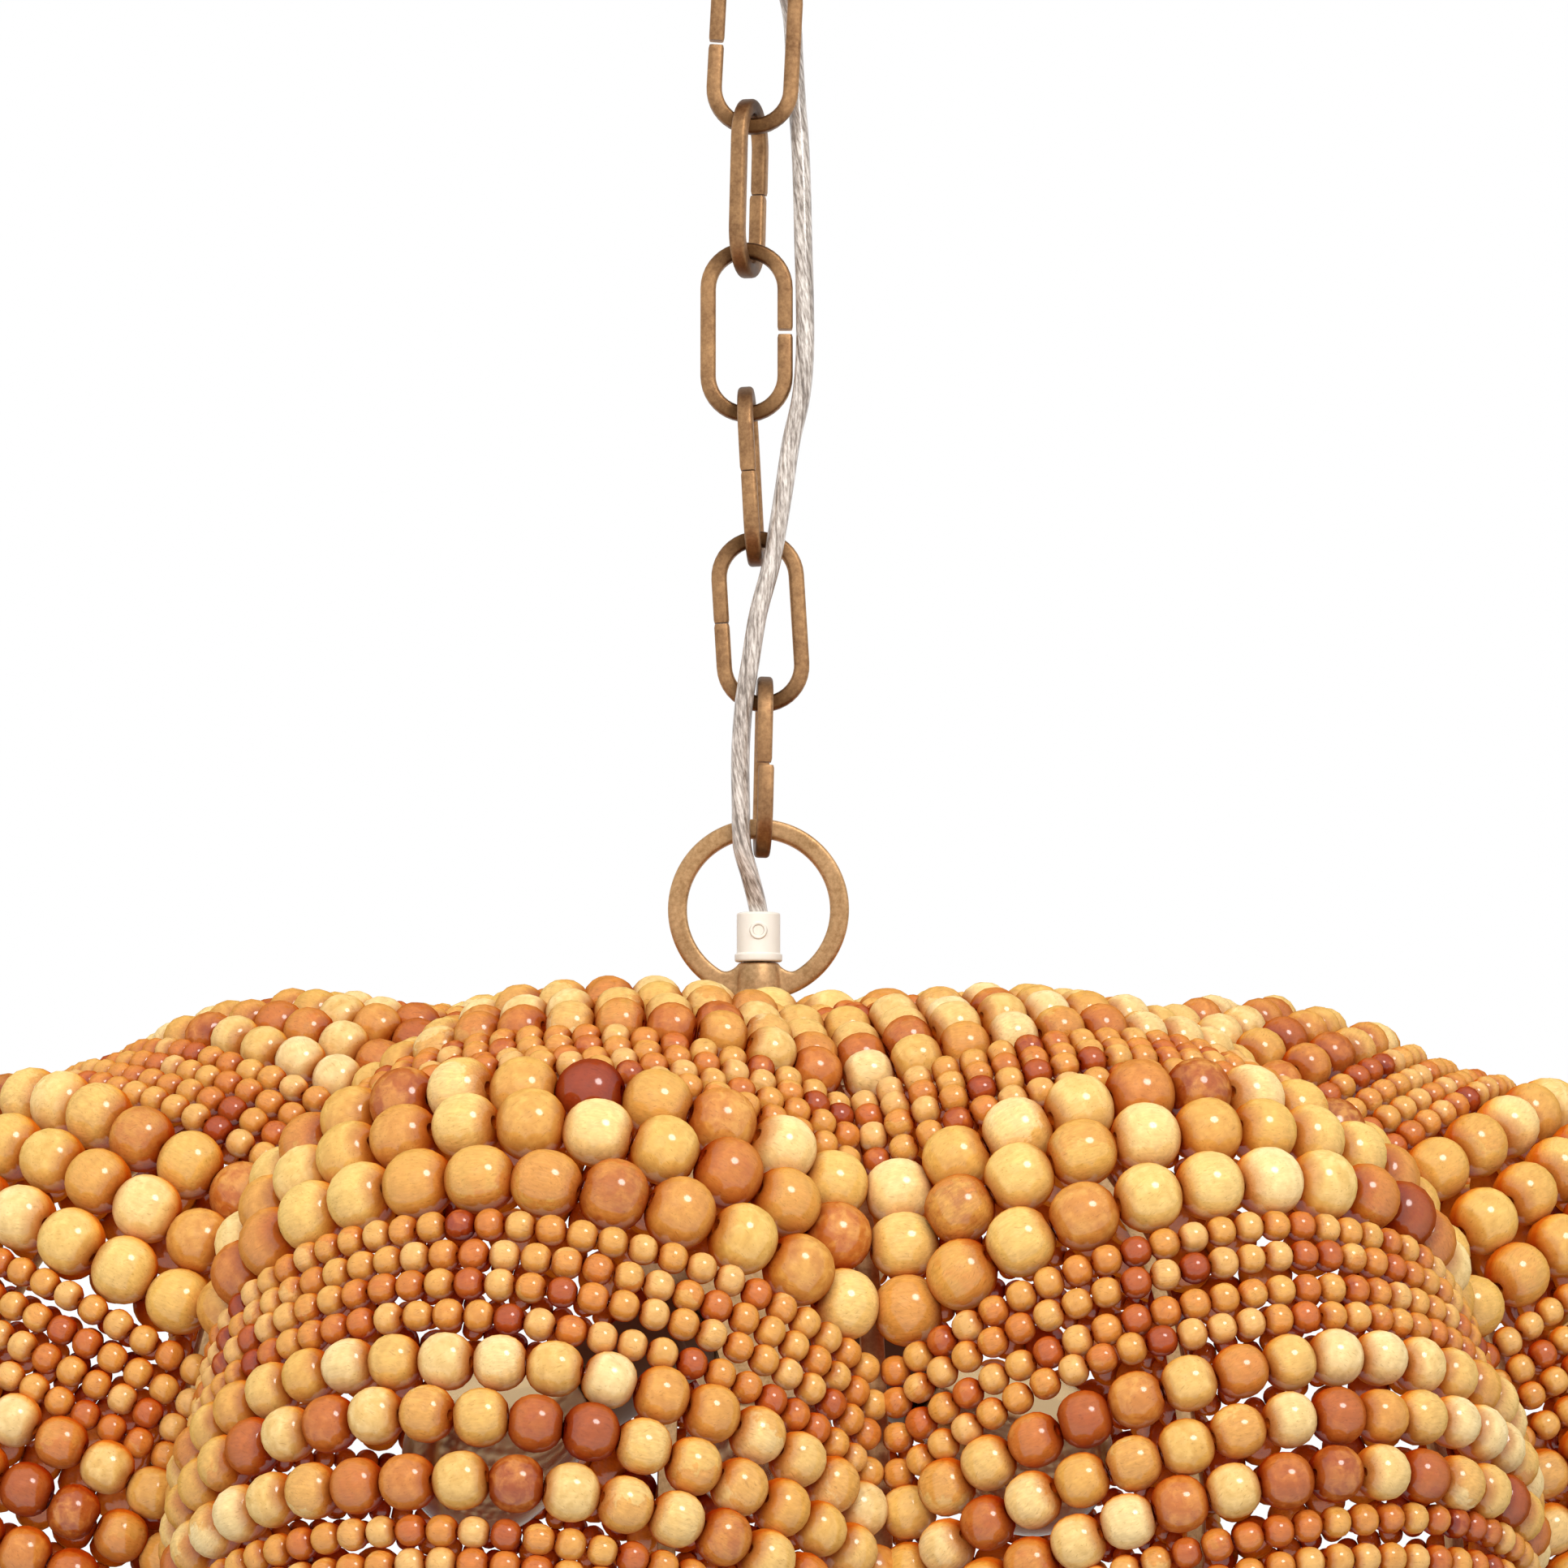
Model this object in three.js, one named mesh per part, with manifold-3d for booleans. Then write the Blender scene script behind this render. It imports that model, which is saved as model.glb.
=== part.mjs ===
// Beaded chandelier: a scalloped shade of wooden bead rows on a wire frame, hung on a chain of split
// links from a ceiling canopy, with its supply cord beside the chain. Millimetres, +Z up.
// The origin is on the ceiling, at the middle of the bracket's top face. -Y faces the viewer.

import * as THREE from 'three';
import { mergeVertices } from 'three/addons/utils/BufferGeometryUtils.js';
import Module from 'manifold-3d';

const wasm = await Module();
wasm.setup();

// Clearances
const seatGap = 0.3;            // between pieces that rest on each other
const linkGap = 1.2;            // between the wires of two chain links at rest
const rowGap = 0.4;             // between neighbouring bead rows
const cutOverrun = 1;           // how far a cutting tool passes the face that it cuts
const weldReach = 1e-4;         // corners closer than this are one corner

// Ceiling bracket, nipple and canopy
const bracketLength = 100;
const bracketWidth = 24;
const bracketThickness = 2.5;
const bracketSlotReach = 34;    // from the middle to each slot's centre
const bracketSlotLength = 16;
const bracketSlotWidth = 4.6;
const nippleRadius = 5;
const nippleBore = 6.4;
const nippleReach = 32;         // how far the nipple hangs below the ceiling
const hexNutAcross = 17;        // corner to corner
const hexNutHeight = 5;
const canopyRadius = 63.5;
const canopyDepth = 30;
const canopyWall = 1.2;
const canopyRimHeight = 5;
const collarRadius = 16;
const collarHeight = 9;
const collarWaist = 12;

// Canopy loop
const canopyRingRadius = 18;
const canopyRingWire = 4.5;
const canopyStemRadius = 8;
const canopyStemTop = 16;       // below the ceiling

// Chain
const linkLength = 52.8;
const linkWidth = 27;
const linkWire = 4.5;
const linkEdge = 0.8;           // chamfer on the wire's four edges
const linkSlit = 0.7;           // the saw cut that the link is opened by
const linkCount = 6;
const linkLeanShares = [-0.046, -0.021, 0, 0.049, 0.055, -0.021];   // sideways step of each link's foot
const linkTwists = [0.04, -0.26, 0, -0.06, 0, 0.05];               // turn about the vertical, in radians
const linkHalfTurns = [1, 0, 0, 1, 1, 1];                          // which side the saw cut is on

// Hanging loop, cord grip and cord
const loopInnerRadius = 20.7;
const loopBand = 5.5;           // seen from the front
const loopDepth = 6;            // front to back
const loopCentreHeight = 23.8;  // above the crown
const bossRadius = 6;
const bossTop = 8.3;            // above the crown
const bossFoot = 6;             // below the crown
const bossFlare = 3;
const gripRadius = 6.3;
const gripHeight = 14.3;
const gripCollar = 0.6;
const gripCollarHeight = 2.4;
const gripScrewRadius = 1.9;
const gripScrewHeight = 8.8;    // above the boss
const gripScrewProud = 0.6;
const cordDiameter = 5.4;
const cordBore = 6.4;           // the hole that the cord passes in grip, boss and loops
const cordSeat = 8;             // how deep the cord's end stands in the grip
const cordSteps = 44;
const cordSides = 6;

// Beads
const smallBead = 8;
const mediumBead = 14;
const largeBead = 18;

// Shade: row centres follow a ridge curve and a valley curve
const lobeCount = 8;
const shadeTurn = THREE.MathUtils.degToRad(7.8);   // first valley, to the right of the viewer
const shadeRadius = 299;
const shadeDepth = 220;
const firstRowRadius = 49;
const radialRoundness = 0.47;
const heightRoundness = 0.65;
const valleyShare = 0.03;       // half the width of a valley's bottom, of a lobe
const ridgeShares = [
  [0.165, -0.064], [0.263, -0.054], [0.361, -0.048], [0.459, -0.045], [0.556, -0.064], [0.649, -0.107],
  [0.742, -0.151], [0.825, -0.221], [0.886, -0.326], [0.942, -0.436], [0.987, -0.554], [1.000, -0.686],
  [0.979, -0.816],
];
const valleyShares = [
  [0.165, -0.064], [0.256, -0.053], [0.347, -0.067], [0.435, -0.101], [0.520, -0.149], [0.598, -0.214],
  [0.661, -0.305], [0.699, -0.418], [0.714, -0.540], [0.717, -0.665], [0.708, -0.789], [0.688, -0.910],
  [0.659, -1.029],
];

// The bands from the crown's middle outwards. On a ridge, lead is the extra space before a band and
// spread that between its rows; crowd is how much closer or wider its rows stand in a valley.
const bands = [
  { name: 'cap_large_row', bead: largeBead, rows: 3, lead: 0, spread: 0, crowdShare: 0.93, stations: 3 },
  { name: 'crown_small_row', bead: smallBead, rows: 4, lead: 0, spread: 0, crowdShare: 0.93, stations: 4 },
  { name: 'crown_medium_row', bead: mediumBead, rows: 4, lead: 0, spread: 0, crowdShare: 0.93, stations: 4 },
  { name: 'slope_small_row', bead: smallBead, rows: 4, lead: 0.6, spread: 0.6, crowdShare: 1, stations: 4 },
  { name: 'shoulder_large_row', bead: largeBead, rows: 3, lead: 0.6, spread: 0, crowdShare: 0.94, stations: 4 },
  { name: 'side_small_row', bead: smallBead, rows: 4, lead: 0.5, spread: 0.5, crowdShare: 0.98, stations: 4 },
  { name: 'side_medium_row', bead: mediumBead, rows: 3, lead: 0, spread: 1, crowdShare: 0.98, stations: 4 },
  { name: 'skirt_small_row', bead: smallBead, rows: 4, lead: 0, spread: 0, crowdShare: 0.93, stations: 4 },
  { name: 'rim_large_row', bead: largeBead, rows: 1, lead: 0, spread: 0, crowdShare: 0.93, stations: 4 },
];
const stationShares = { 3: [0.16, 0.5, 0.84], 4: [0, 0.16, 0.5, 0.84] };

// Crown fittings and wire frame
const capRadius = 38;
const capThickness = 1.5;
const capDish = 5;
const spacerRadius = 8;
const hubRadius = 22;
const hubThickness = 3;
const ribWidth = 6;
const ribThickness = 3;
const ribGap = 0.8;             // under the rows
const hoopWire = 4;
const stemRadius = 5;
const stemLength = 84;
const stemThread = 6;           // how far the stem stands in the boss

// Lamp cluster
const lampCount = 3;
const clusterTopRadius = 38;
const clusterFootRadius = 15;
const clusterHeight = 38;
const socketRadius = 13;
const socketLength = 38;
const socketWall = 1.6;
const socketDepth = 26;
const bulbNeck = 11;
const bulbRadius = 22.5;
const bulbLength = 84;
const finialRadius = 9;
const finialHeight = 15;

// Materials
function finish(color, roughness, metalness, opacity = 1) {
  return new THREE.MeshStandardMaterial({
    color, roughness, metalness, opacity, transparent: opacity < 1, flatShading: true,
  });
}
const finishes = {
  brass: () => finish(0x8a6a3c, 0.38, 1),
  steel: () => finish(0x8f8d88, 0.45, 1),
  largeWood: () => finish(0xe0b169, 0.35, 0),
  mediumWood: () => finish(0xcf8f4c, 0.35, 0),
  smallWood: () => finish(0xc07a48, 0.35, 0),
  ivory: () => finish(0xe9e5da, 0.5, 0),
  cord: () => finish(0xbfbcb2, 0.25, 0, 0.6),
  glass: () => finish(0xf3efe2, 0.15, 0, 0.5),
};

// Geometry helpers
function signedVolume(positions, indices) {
  let sum = 0;
  const a = new THREE.Vector3();
  const b = new THREE.Vector3();
  const c = new THREE.Vector3();
  for (let i = 0; i < indices.length; i += 3) {
    a.fromArray(positions, indices[i] * 3);
    b.fromArray(positions, indices[i + 1] * 3);
    c.fromArray(positions, indices[i + 2] * 3);
    sum += a.dot(b.cross(c));
  }
  return sum;
}

// A closed skin over rings of points with equal counts; a loft that isn't closed gets flat ends.
function loft(rings, closed) {
  const sides = rings[0].length;
  const positions = rings.flat().flatMap((p) => [p.x, p.y, p.z]);
  const indices = [];
  const spans = closed ? rings.length : rings.length - 1;
  for (let i = 0; i < spans; i++) {
    const here = i * sides;
    const next = ((i + 1) % rings.length) * sides;
    for (let j = 0; j < sides; j++) {
      const k = (j + 1) % sides;
      indices.push(here + j, next + j, next + k, here + j, next + k, here + k);
    }
  }
  if (!closed) {
    const last = (rings.length - 1) * sides;
    for (let j = 1; j < sides - 1; j++) {
      indices.push(0, j, j + 1, last, last + j + 1, last + j);
    }
  }
  if (signedVolume(positions, indices) < 0) {
    indices.reverse();
  }
  const geometry = new THREE.BufferGeometry();
  geometry.setAttribute('position', new THREE.Float32BufferAttribute(positions, 3));
  geometry.setIndex(indices);
  geometry.computeVertexNormals();
  return geometry;
}

// A lathe round +Z from [radius, height] pairs that close on themselves or end on the axis.
function turned(profile, segments) {
  const points = profile.map(([r, z]) => new THREE.Vector2(r, z));
  if (THREE.ShapeUtils.area(points) < 0) {
    points.reverse();
  }
  const geometry = new THREE.LatheGeometry(points, segments);
  geometry.rotateX(Math.PI / 2);
  return geometry;
}

// A tube's profile: outer wall down, inner wall up.
function tubeProfile(outer, inner, top, foot) {
  return [[inner, top], [outer, top], [outer, foot], [inner, foot], [inner, top]];
}

function solidOf(geometry) {
  const bare = geometry.clone();
  bare.deleteAttribute('normal');
  bare.deleteAttribute('uv');
  const merged = mergeVertices(bare, weldReach);
  const positions = merged.attributes.position.array;
  let triangles = Array.from(merged.index.array);
  triangles = triangles.filter((_, i) => {
    const t = i - (i % 3);
    const [a, b, c] = triangles.slice(t, t + 3);
    return a !== b && b !== c && c !== a;
  });
  if (signedVolume(positions, triangles) < 0) {
    triangles.reverse();
  }
  return new wasm.Manifold(new wasm.Mesh({
    numProp: 3, vertProperties: new Float32Array(positions), triVerts: new Uint32Array(triangles),
  }));
}

function geometryOf(solid) {
  const mesh = solid.getMesh();
  const geometry = new THREE.BufferGeometry();
  geometry.setAttribute('position', new THREE.Float32BufferAttribute(mesh.vertProperties, 3));
  geometry.setIndex(Array.from(mesh.triVerts));
  geometry.computeVertexNormals();
  return geometry;
}

// A square section with its edges taken off, in two directions at a centre.
function chamferedSquare(centre, across, along, width, depth, edge) {
  const w = width / 2;
  const d = depth / 2;
  const corners = [
    [w, d - edge], [w - edge, d], [edge - w, d], [-w, d - edge],
    [-w, edge - d], [edge - w, -d], [w - edge, -d], [w, edge - d],
  ];
  return corners.map(([a, b]) => centre.clone().addScaledVector(across, a).addScaledVector(along, b));
}

const chandelier = new THREE.Group();
const AXIS_X = new THREE.Vector3(1, 0, 0);
const AXIS_Y = new THREE.Vector3(0, 1, 0);
const AXIS_Z = new THREE.Vector3(0, 0, 1);

function add(parent, name, geometry, material) {
  const mesh = new THREE.Mesh(geometry, material);
  mesh.name = name;
  parent.add(mesh);
  return mesh;
}

// Ceiling bracket: a flat strip with a hole for the nipple and two slots for the box screws
function bracketGeometry() {
  const outline = new THREE.Shape();
  const end = bracketLength / 2 - bracketWidth / 2;
  outline.absarc(end, 0, bracketWidth / 2, -Math.PI / 2, Math.PI / 2, false);
  outline.absarc(-end, 0, bracketWidth / 2, Math.PI / 2, 3 * Math.PI / 2, false);
  outline.closePath();
  const middle = new THREE.Path();
  middle.absarc(0, 0, nippleRadius + seatGap, 0, 2 * Math.PI, true);
  outline.holes.push(middle);
  for (const side of [-1, 1]) {
    const slot = new THREE.Path();
    const run = (bracketSlotLength - bracketSlotWidth) / 2;
    slot.absarc(side * bracketSlotReach + run, 0, bracketSlotWidth / 2, Math.PI / 2, -Math.PI / 2, true);
    slot.absarc(side * bracketSlotReach - run, 0, bracketSlotWidth / 2, -Math.PI / 2, Math.PI / 2, true);
    slot.closePath();
    outline.holes.push(slot);
  }
  const geometry = new THREE.ExtrudeGeometry(outline, {
    depth: bracketThickness, bevelEnabled: false, curveSegments: 6,
  });
  geometry.translate(0, 0, -bracketThickness);
  return geometry;
}
add(chandelier, 'ceiling_bracket', bracketGeometry(), finishes.steel());

const nippleProfile = tubeProfile(nippleRadius, nippleBore / 2, -seatGap, -nippleReach);
add(chandelier, 'threaded_nipple', turned(nippleProfile, 16), finishes.steel());

function hexNut(top, bore) {
  const shape = new THREE.Shape();
  for (let i = 0; i < 6; i++) {
    const angle = (i * Math.PI) / 3;
    const point = [Math.cos(angle) * hexNutAcross / 2, Math.sin(angle) * hexNutAcross / 2];
    if (i === 0) {
      shape.moveTo(...point);
    } else {
      shape.lineTo(...point);
    }
  }
  shape.closePath();
  const hole = new THREE.Path();
  hole.absarc(0, 0, bore, 0, 2 * Math.PI, true);
  shape.holes.push(hole);
  const geometry = new THREE.ExtrudeGeometry(shape, {
    depth: hexNutHeight, bevelEnabled: false, curveSegments: 8,
  });
  geometry.translate(0, 0, top - hexNutHeight);
  return geometry;
}
const nippleNutTop = -bracketThickness - seatGap;
add(chandelier, 'nipple_nut', hexNut(nippleNutTop, nippleRadius + seatGap), finishes.steel());

// Canopy: a spun bowl that is open to the ceiling, with a straight rim and a domed floor
function canopyProfile() {
  const hole = canopyStemRadius + seatGap;
  const steps = 5;
  const outer = [];
  const inner = [];
  for (let i = 0; i <= steps; i++) {
    const angle = (i / steps) * (Math.PI / 2);
    const drop = canopyRimHeight + (canopyDepth - canopyRimHeight) * Math.sin(angle);
    const reach = hole + (canopyRadius - hole) * Math.cos(angle) ** 0.8;
    outer.push([reach, -drop]);
    inner.push([i === steps ? hole : reach - canopyWall, -drop + (i === 0 ? 0 : canopyWall)]);
  }
  const rim = [[canopyRadius - canopyWall, 0], [canopyRadius, 0]];
  return [...rim, ...outer, ...inner.reverse(), rim[0]];
}
add(chandelier, 'canopy', turned(canopyProfile(), 24), finishes.brass());

const collarTop = -canopyDepth - seatGap;
const collarProfile = [
  [canopyStemRadius + seatGap, collarTop], [collarRadius, collarTop],
  [collarRadius, collarTop - collarHeight / 3], [collarWaist, collarTop - collarHeight],
  [canopyStemRadius + seatGap, collarTop - collarHeight], [canopyStemRadius + seatGap, collarTop],
];
add(chandelier, 'collar_nut', turned(collarProfile, 20), finishes.brass());

// A ring of wire about a centre in the plane of two directions
function ringGeometry(centre, right, up, through, radius, band, depth, edge, steps) {
  const rings = [];
  for (let i = 0; i < steps; i++) {
    const angle = (i / steps) * 2 * Math.PI;
    const out = right.clone().multiplyScalar(Math.cos(angle)).addScaledVector(up, Math.sin(angle));
    const at = centre.clone().addScaledVector(out, radius);
    rings.push(chamferedSquare(at, out, through, band, depth, edge));
  }
  return loft(rings, true);
}

// Canopy loop: a ring on a bored stem that screws on the nipple
const canopyRingTop = collarTop - collarHeight - seatGap;
const canopyRingCentre = canopyRingTop - canopyRingRadius;
const canopyRingMean = canopyRingRadius - canopyRingWire / 2;
function canopyLoopGeometry() {
  const centre = new THREE.Vector3(0, 0, canopyRingCentre);
  const ring = solidOf(ringGeometry(
    centre, AXIS_Y, AXIS_Z, AXIS_X, canopyRingMean, canopyRingWire, canopyRingWire, linkEdge, 24,
  ));
  const stemFoot = canopyRingTop - canopyRingWire;
  const stem = solidOf(turned([
    [0, -canopyStemTop], [canopyStemRadius, -canopyStemTop], [canopyStemRadius, canopyRingTop],
    [canopyRingWire, stemFoot], [0, stemFoot],
  ], 20));
  const bore = solidOf(turned([
    [0, 0], [cordBore / 2, 0],
    [cordBore / 2, stemFoot - cutOverrun], [0, stemFoot - cutOverrun],
  ], 12));
  const thread = solidOf(turned([
    [0, 0], [nippleRadius + seatGap, 0],
    [nippleRadius + seatGap, -nippleReach - seatGap], [0, -nippleReach - seatGap],
  ], 16));
  return geometryOf(ring.add(stem).subtract(bore).subtract(thread));
}
add(chandelier, 'canopy_loop', canopyLoopGeometry(), finishes.brass());

// Chain link: a long oval of square wire, cut through at the middle of one side
function linkGeometry() {
  const bow = (linkWidth - linkWire) / 2;
  const straight = (linkLength - linkWidth) / 2;
  const places = [[bow, linkSlit / 2, 1, 0]];
  const steps = 6;
  for (const end of [1, -1]) {
    for (let i = 0; i <= steps; i++) {
      const angle = (i / steps) * Math.PI + (end === 1 ? 0 : Math.PI);
      const out = [Math.cos(angle), Math.sin(angle)];
      places.push([out[0] * bow, end * straight + out[1] * bow, out[0], out[1]]);
    }
  }
  places.push([bow, -linkSlit / 2, 1, 0]);
  const rings = places.map(([x, z, ox, oz]) => chamferedSquare(
    new THREE.Vector3(x, 0, z), new THREE.Vector3(ox, 0, oz), AXIS_Y, linkWire, linkWire, linkEdge,
  ));
  return loft(rings, false);
}

// The chain: each link's upper bow hangs in the lower bow of the one above
const linkNames = ['chain_link_1', 'chain_link_2', 'chain_link_3', 'chain_link_4', 'chain_link_5', 'chain_link_6'];
const wireCentres = [new THREE.Vector3(0, 0, canopyRingCentre - canopyRingMean)];
let hangerHalf = canopyRingWire / 2;
for (let i = 0; i < linkCount; i++) {
  const hanger = wireCentres[i];
  const span = linkLength - linkWire;
  const top = new THREE.Vector3(hanger.x, 0, hanger.z + hangerHalf + linkGap + linkWire / 2);
  const lean = linkLeanShares[i] * linkLength;
  const foot = new THREE.Vector3(hanger.x + lean, 0, top.z - Math.sqrt(span ** 2 - lean ** 2));
  const link = add(chandelier, linkNames[i], linkGeometry(), finishes.brass());
  link.position.copy(top).add(foot).multiplyScalar(0.5);
  link.rotation.order = 'YZX';
  link.rotation.y = -Math.asin(lean / span);
  link.rotation.z = (i % 2) * (Math.PI / 2) + linkHalfTurns[i] * Math.PI + linkTwists[i];
  wireCentres.push(foot);
  hangerHalf = linkWire / 2;
}
const lastWire = wireCentres[linkCount];

// Shade group, with z = 0 at the crown
const loopMean = loopInnerRadius + loopBand / 2;
const loopCentreZ = lastWire.z + hangerHalf + linkGap - loopInnerRadius;
const crownLevel = loopCentreZ - loopCentreHeight;
const shade = new THREE.Group();
shade.position.set(0, 0, crownLevel);
chandelier.add(shade);

// Hanging loop: a flat-banded ring that runs into a round boss, bored for cord and stem
function hangingLoopGeometry() {
  const centre = new THREE.Vector3(0, 0, loopCentreHeight);
  const ring = solidOf(ringGeometry(
    centre, AXIS_X, AXIS_Z, AXIS_Y, loopMean, loopBand, loopDepth, linkEdge, 24,
  ));
  const ringFoot = loopCentreHeight - loopInnerRadius - loopBand;
  const boss = solidOf(turned([
    [0, bossTop], [bossRadius, bossTop], [bossRadius, bossTop - bossFlare / 2],
    [bossRadius + bossFlare / 5, bossTop - bossFlare], [bossRadius + bossFlare, ringFoot + loopBand / 2],
    [bossRadius + bossFlare, ringFoot], [bossRadius, -bossFoot], [0, -bossFoot],
  ], 24));
  const bore = solidOf(turned([
    [0, bossTop + cutOverrun], [cordBore / 2, bossTop + cutOverrun],
    [cordBore / 2, -bossFoot - cutOverrun], [0, -bossFoot - cutOverrun],
  ], 12));
  const thread = solidOf(turned([
    [0, stemThread - bossFoot], [stemRadius + seatGap, stemThread - bossFoot],
    [stemRadius + seatGap, -bossFoot - cutOverrun], [0, -bossFoot - cutOverrun],
  ], 16));
  return geometryOf(ring.add(boss).subtract(bore).subtract(thread));
}
add(shade, 'hanging_loop', hangingLoopGeometry(), finishes.brass());

// Cord grip: a bored plastic bush with a collar and a rounded mouth, and its clamping screw
const gripFoot = bossTop + seatGap;
function gripGeometry() {
  const mouth = gripFoot + gripHeight;
  const body = solidOf(turned([
    [cordBore / 2, mouth], [gripRadius - gripCollar * 2, mouth], [gripRadius, mouth - gripCollar * 2],
    [gripRadius, gripFoot + gripCollarHeight], [gripRadius + gripCollar, gripFoot + gripCollarHeight],
    [gripRadius + gripCollar, gripFoot], [cordBore / 2, gripFoot], [cordBore / 2, mouth],
  ], 24));
  const pocket = new THREE.CylinderGeometry(gripScrewRadius + seatGap, gripScrewRadius + seatGap, gripRadius, 12);
  pocket.translate(0, -gripRadius, gripFoot + gripScrewHeight);
  const hole = solidOf(pocket);
  return geometryOf(body.subtract(hole));
}
add(shade, 'cord_grip', gripGeometry(), finishes.ivory());

function gripScrewGeometry() {
  const inner = gripRadius / 2 + seatGap;
  const length = gripRadius + gripScrewProud - inner;
  const geometry = new THREE.CylinderGeometry(gripScrewRadius, gripScrewRadius, length, 12);
  geometry.translate(0, -inner - length / 2, gripFoot + gripScrewHeight);
  return geometry;
}
add(shade, 'grip_screw', gripScrewGeometry(), finishes.ivory());

// Supply cord: up out of the grip, in front of the hanging loop and of two links, beside the next two
// and behind the last, then into the canopy loop's bore. Each place is given by its distance from the
// chain's middle line, in shares of a clear step sideways and to the front, and its height in links.
const clearance = cordDiameter / 2 + seatGap;
const sideStep = linkWidth / 2 + clearance;
const frontStep = linkWire / 2 + clearance;
const linkPitch = linkLength - 2 * linkWire - linkGap;
const cordWayShares = [
  [-0.20, 0.75, -0.18], [-0.33, 1.22, 0.0], [-0.38, 1.22, 0.3], [-0.41, 1.15, 0.65], [-0.37, 1.15, 1.0],
  [-0.22, 1.15, 1.26], [-0.02, 1.15, 1.6], [0.26, 1.15, 1.93], [0.43, 1.15, 2.2], [0.6, 1.0, 2.5],
  [0.76, 0.7, 2.8], [0.96, 0.45, 3.1], [1.03, 0.2, 3.4], [1.03, -0.1, 3.8], [0.99, -0.5, 4.2],
  [0.94, -1.0, 4.6], [0.88, -1.5, 4.95], [0.8, -1.95, 5.2], [0.71, -2.15, 5.5], [0.61, -2.15, 5.83],
  [0.46, -1.95, 6.05], [0.33, -1.55, 6.22], [0.16, -0.75, 6.4],
];
function cordPlace([side, front, height]) {
  const low = Math.min(Math.max(Math.floor(height), 0), linkCount - 1);
  const below = wireCentres[linkCount - low];
  const above = wireCentres[linkCount - low - 1];
  const middle = THREE.MathUtils.lerp(below.x, above.x, Math.min(Math.max(height - low, 0), 1));
  const level = lastWire.z - crownLevel + height * linkPitch;
  return new THREE.Vector3(middle + side * sideStep, -front * frontStep, level);
}
const gripMouth = gripFoot + gripHeight;
const cordMouth = canopyRingCentre + canopyRingRadius - canopyRingWire - crownLevel;
const cordRoute = [
  new THREE.Vector3(0, 0, gripMouth - cordSeat), new THREE.Vector3(0, 0, gripMouth),
  ...cordWayShares.map(cordPlace),
  new THREE.Vector3(0, 0, cordMouth - seatGap), new THREE.Vector3(0, 0, cordMouth + canopyRingWire),
];
function cordGeometry() {
  const curve = new THREE.CatmullRomCurve3(cordRoute);
  const section = new THREE.Shape();
  for (let i = 0; i < cordSides; i++) {
    const angle = (i / cordSides) * 2 * Math.PI;
    const point = [Math.cos(angle) * cordDiameter / 2, Math.sin(angle) * cordDiameter / 2];
    if (i === 0) {
      section.moveTo(...point);
    } else {
      section.lineTo(...point);
    }
  }
  section.closePath();
  return new THREE.ExtrudeGeometry(section, { steps: cordSteps, bevelEnabled: false, extrudePath: curve });
}
add(shade, 'supply_cord', cordGeometry(), finishes.cord());

// Row places: distances along the ridge and valley curves that grow by bead sizes and spreads
function meridian(shares) {
  const points = shares.map(([r, z]) => new THREE.Vector3(r * shadeRadius, 0, z * shadeDepth));
  const curve = new THREE.CatmullRomCurve3(points);
  const length = curve.getLength();
  return (distance) => {
    const share = THREE.MathUtils.clamp(distance / length, 0, 1);
    const beyond = distance - share * length;
    return curve.getPointAt(share).addScaledVector(curve.getTangentAt(share), beyond);
  };
}
const ridgeAt = meridian(ridgeShares);
const valleyAt = meridian(valleyShares);

function layRows() {
  const rows = [];
  let before = null;
  let ridge = firstRowRadius - ridgeShares[0][0] * shadeRadius;
  let valley = ridge;
  for (const band of bands) {
    for (let i = 0; i < band.rows; i++) {
      if (before) {
        const touch = (before.bead + band.bead) / 2 + rowGap;
        ridge += touch + (before === band ? band.spread : band.lead);
        valley += touch * band.crowdShare;
      }
      rows.push({ band, name: `${band.name}_${i + 1}`, ridge: ridgeAt(ridge), valley: valleyAt(valley) });
      before = band;
    }
  }
  return rows;
}
const rows = layRows();

// A row's centre between its valley place (share 0 or 1 of a lobe) and its ridge place (share 0.5). The
// beads of two lobes touch in the valley, so its bottom is rounded.
const lobeAngle = (2 * Math.PI) / lobeCount;
function rowCentre(row, share) {
  const rise = Math.sin(Math.PI * Math.min(Math.hypot(Math.min(share, 1 - share), valleyShare), 0.5));
  const r = THREE.MathUtils.lerp(row.valley.x, row.ridge.x, rise ** radialRoundness);
  const z = THREE.MathUtils.lerp(row.valley.z, row.ridge.z, rise ** heightRoundness);
  return new THREE.Vector2(r, z);
}
function atAzimuth(place, angle) {
  return new THREE.Vector3(Math.cos(angle) * place.x, Math.sin(angle) * place.x, place.y);
}

// Directions in the upright plane through the axis: along the surface from row to row, and out of it
function rowDirections(index, share) {
  const here = rowCentre(rows[index], share);
  const from = index > 0 ? rowCentre(rows[index - 1], share) : here;
  const to = index < rows.length - 1 ? rowCentre(rows[index + 1], share) : here;
  const along = to.clone().sub(from).normalize();
  return { here, from, to, along, out: new THREE.Vector2(-along.y, along.x) };
}

// Half of a row's width between its neighbours, and its half depth through the surface
function rowHalfWidth(index, share) {
  const { here, from, to } = rowDirections(index, share);
  const bead = rows[index].band.bead;
  let half = bead / 2;
  if (index > 0) {
    const part = bead / (bead + rows[index - 1].band.bead);
    half = Math.min(half, here.distanceTo(from) * part - rowGap / 2);
  }
  if (index < rows.length - 1) {
    const part = bead / (bead + rows[index + 1].band.bead);
    half = Math.min(half, here.distanceTo(to) * part - rowGap / 2);
  }
  return half;
}

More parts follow.
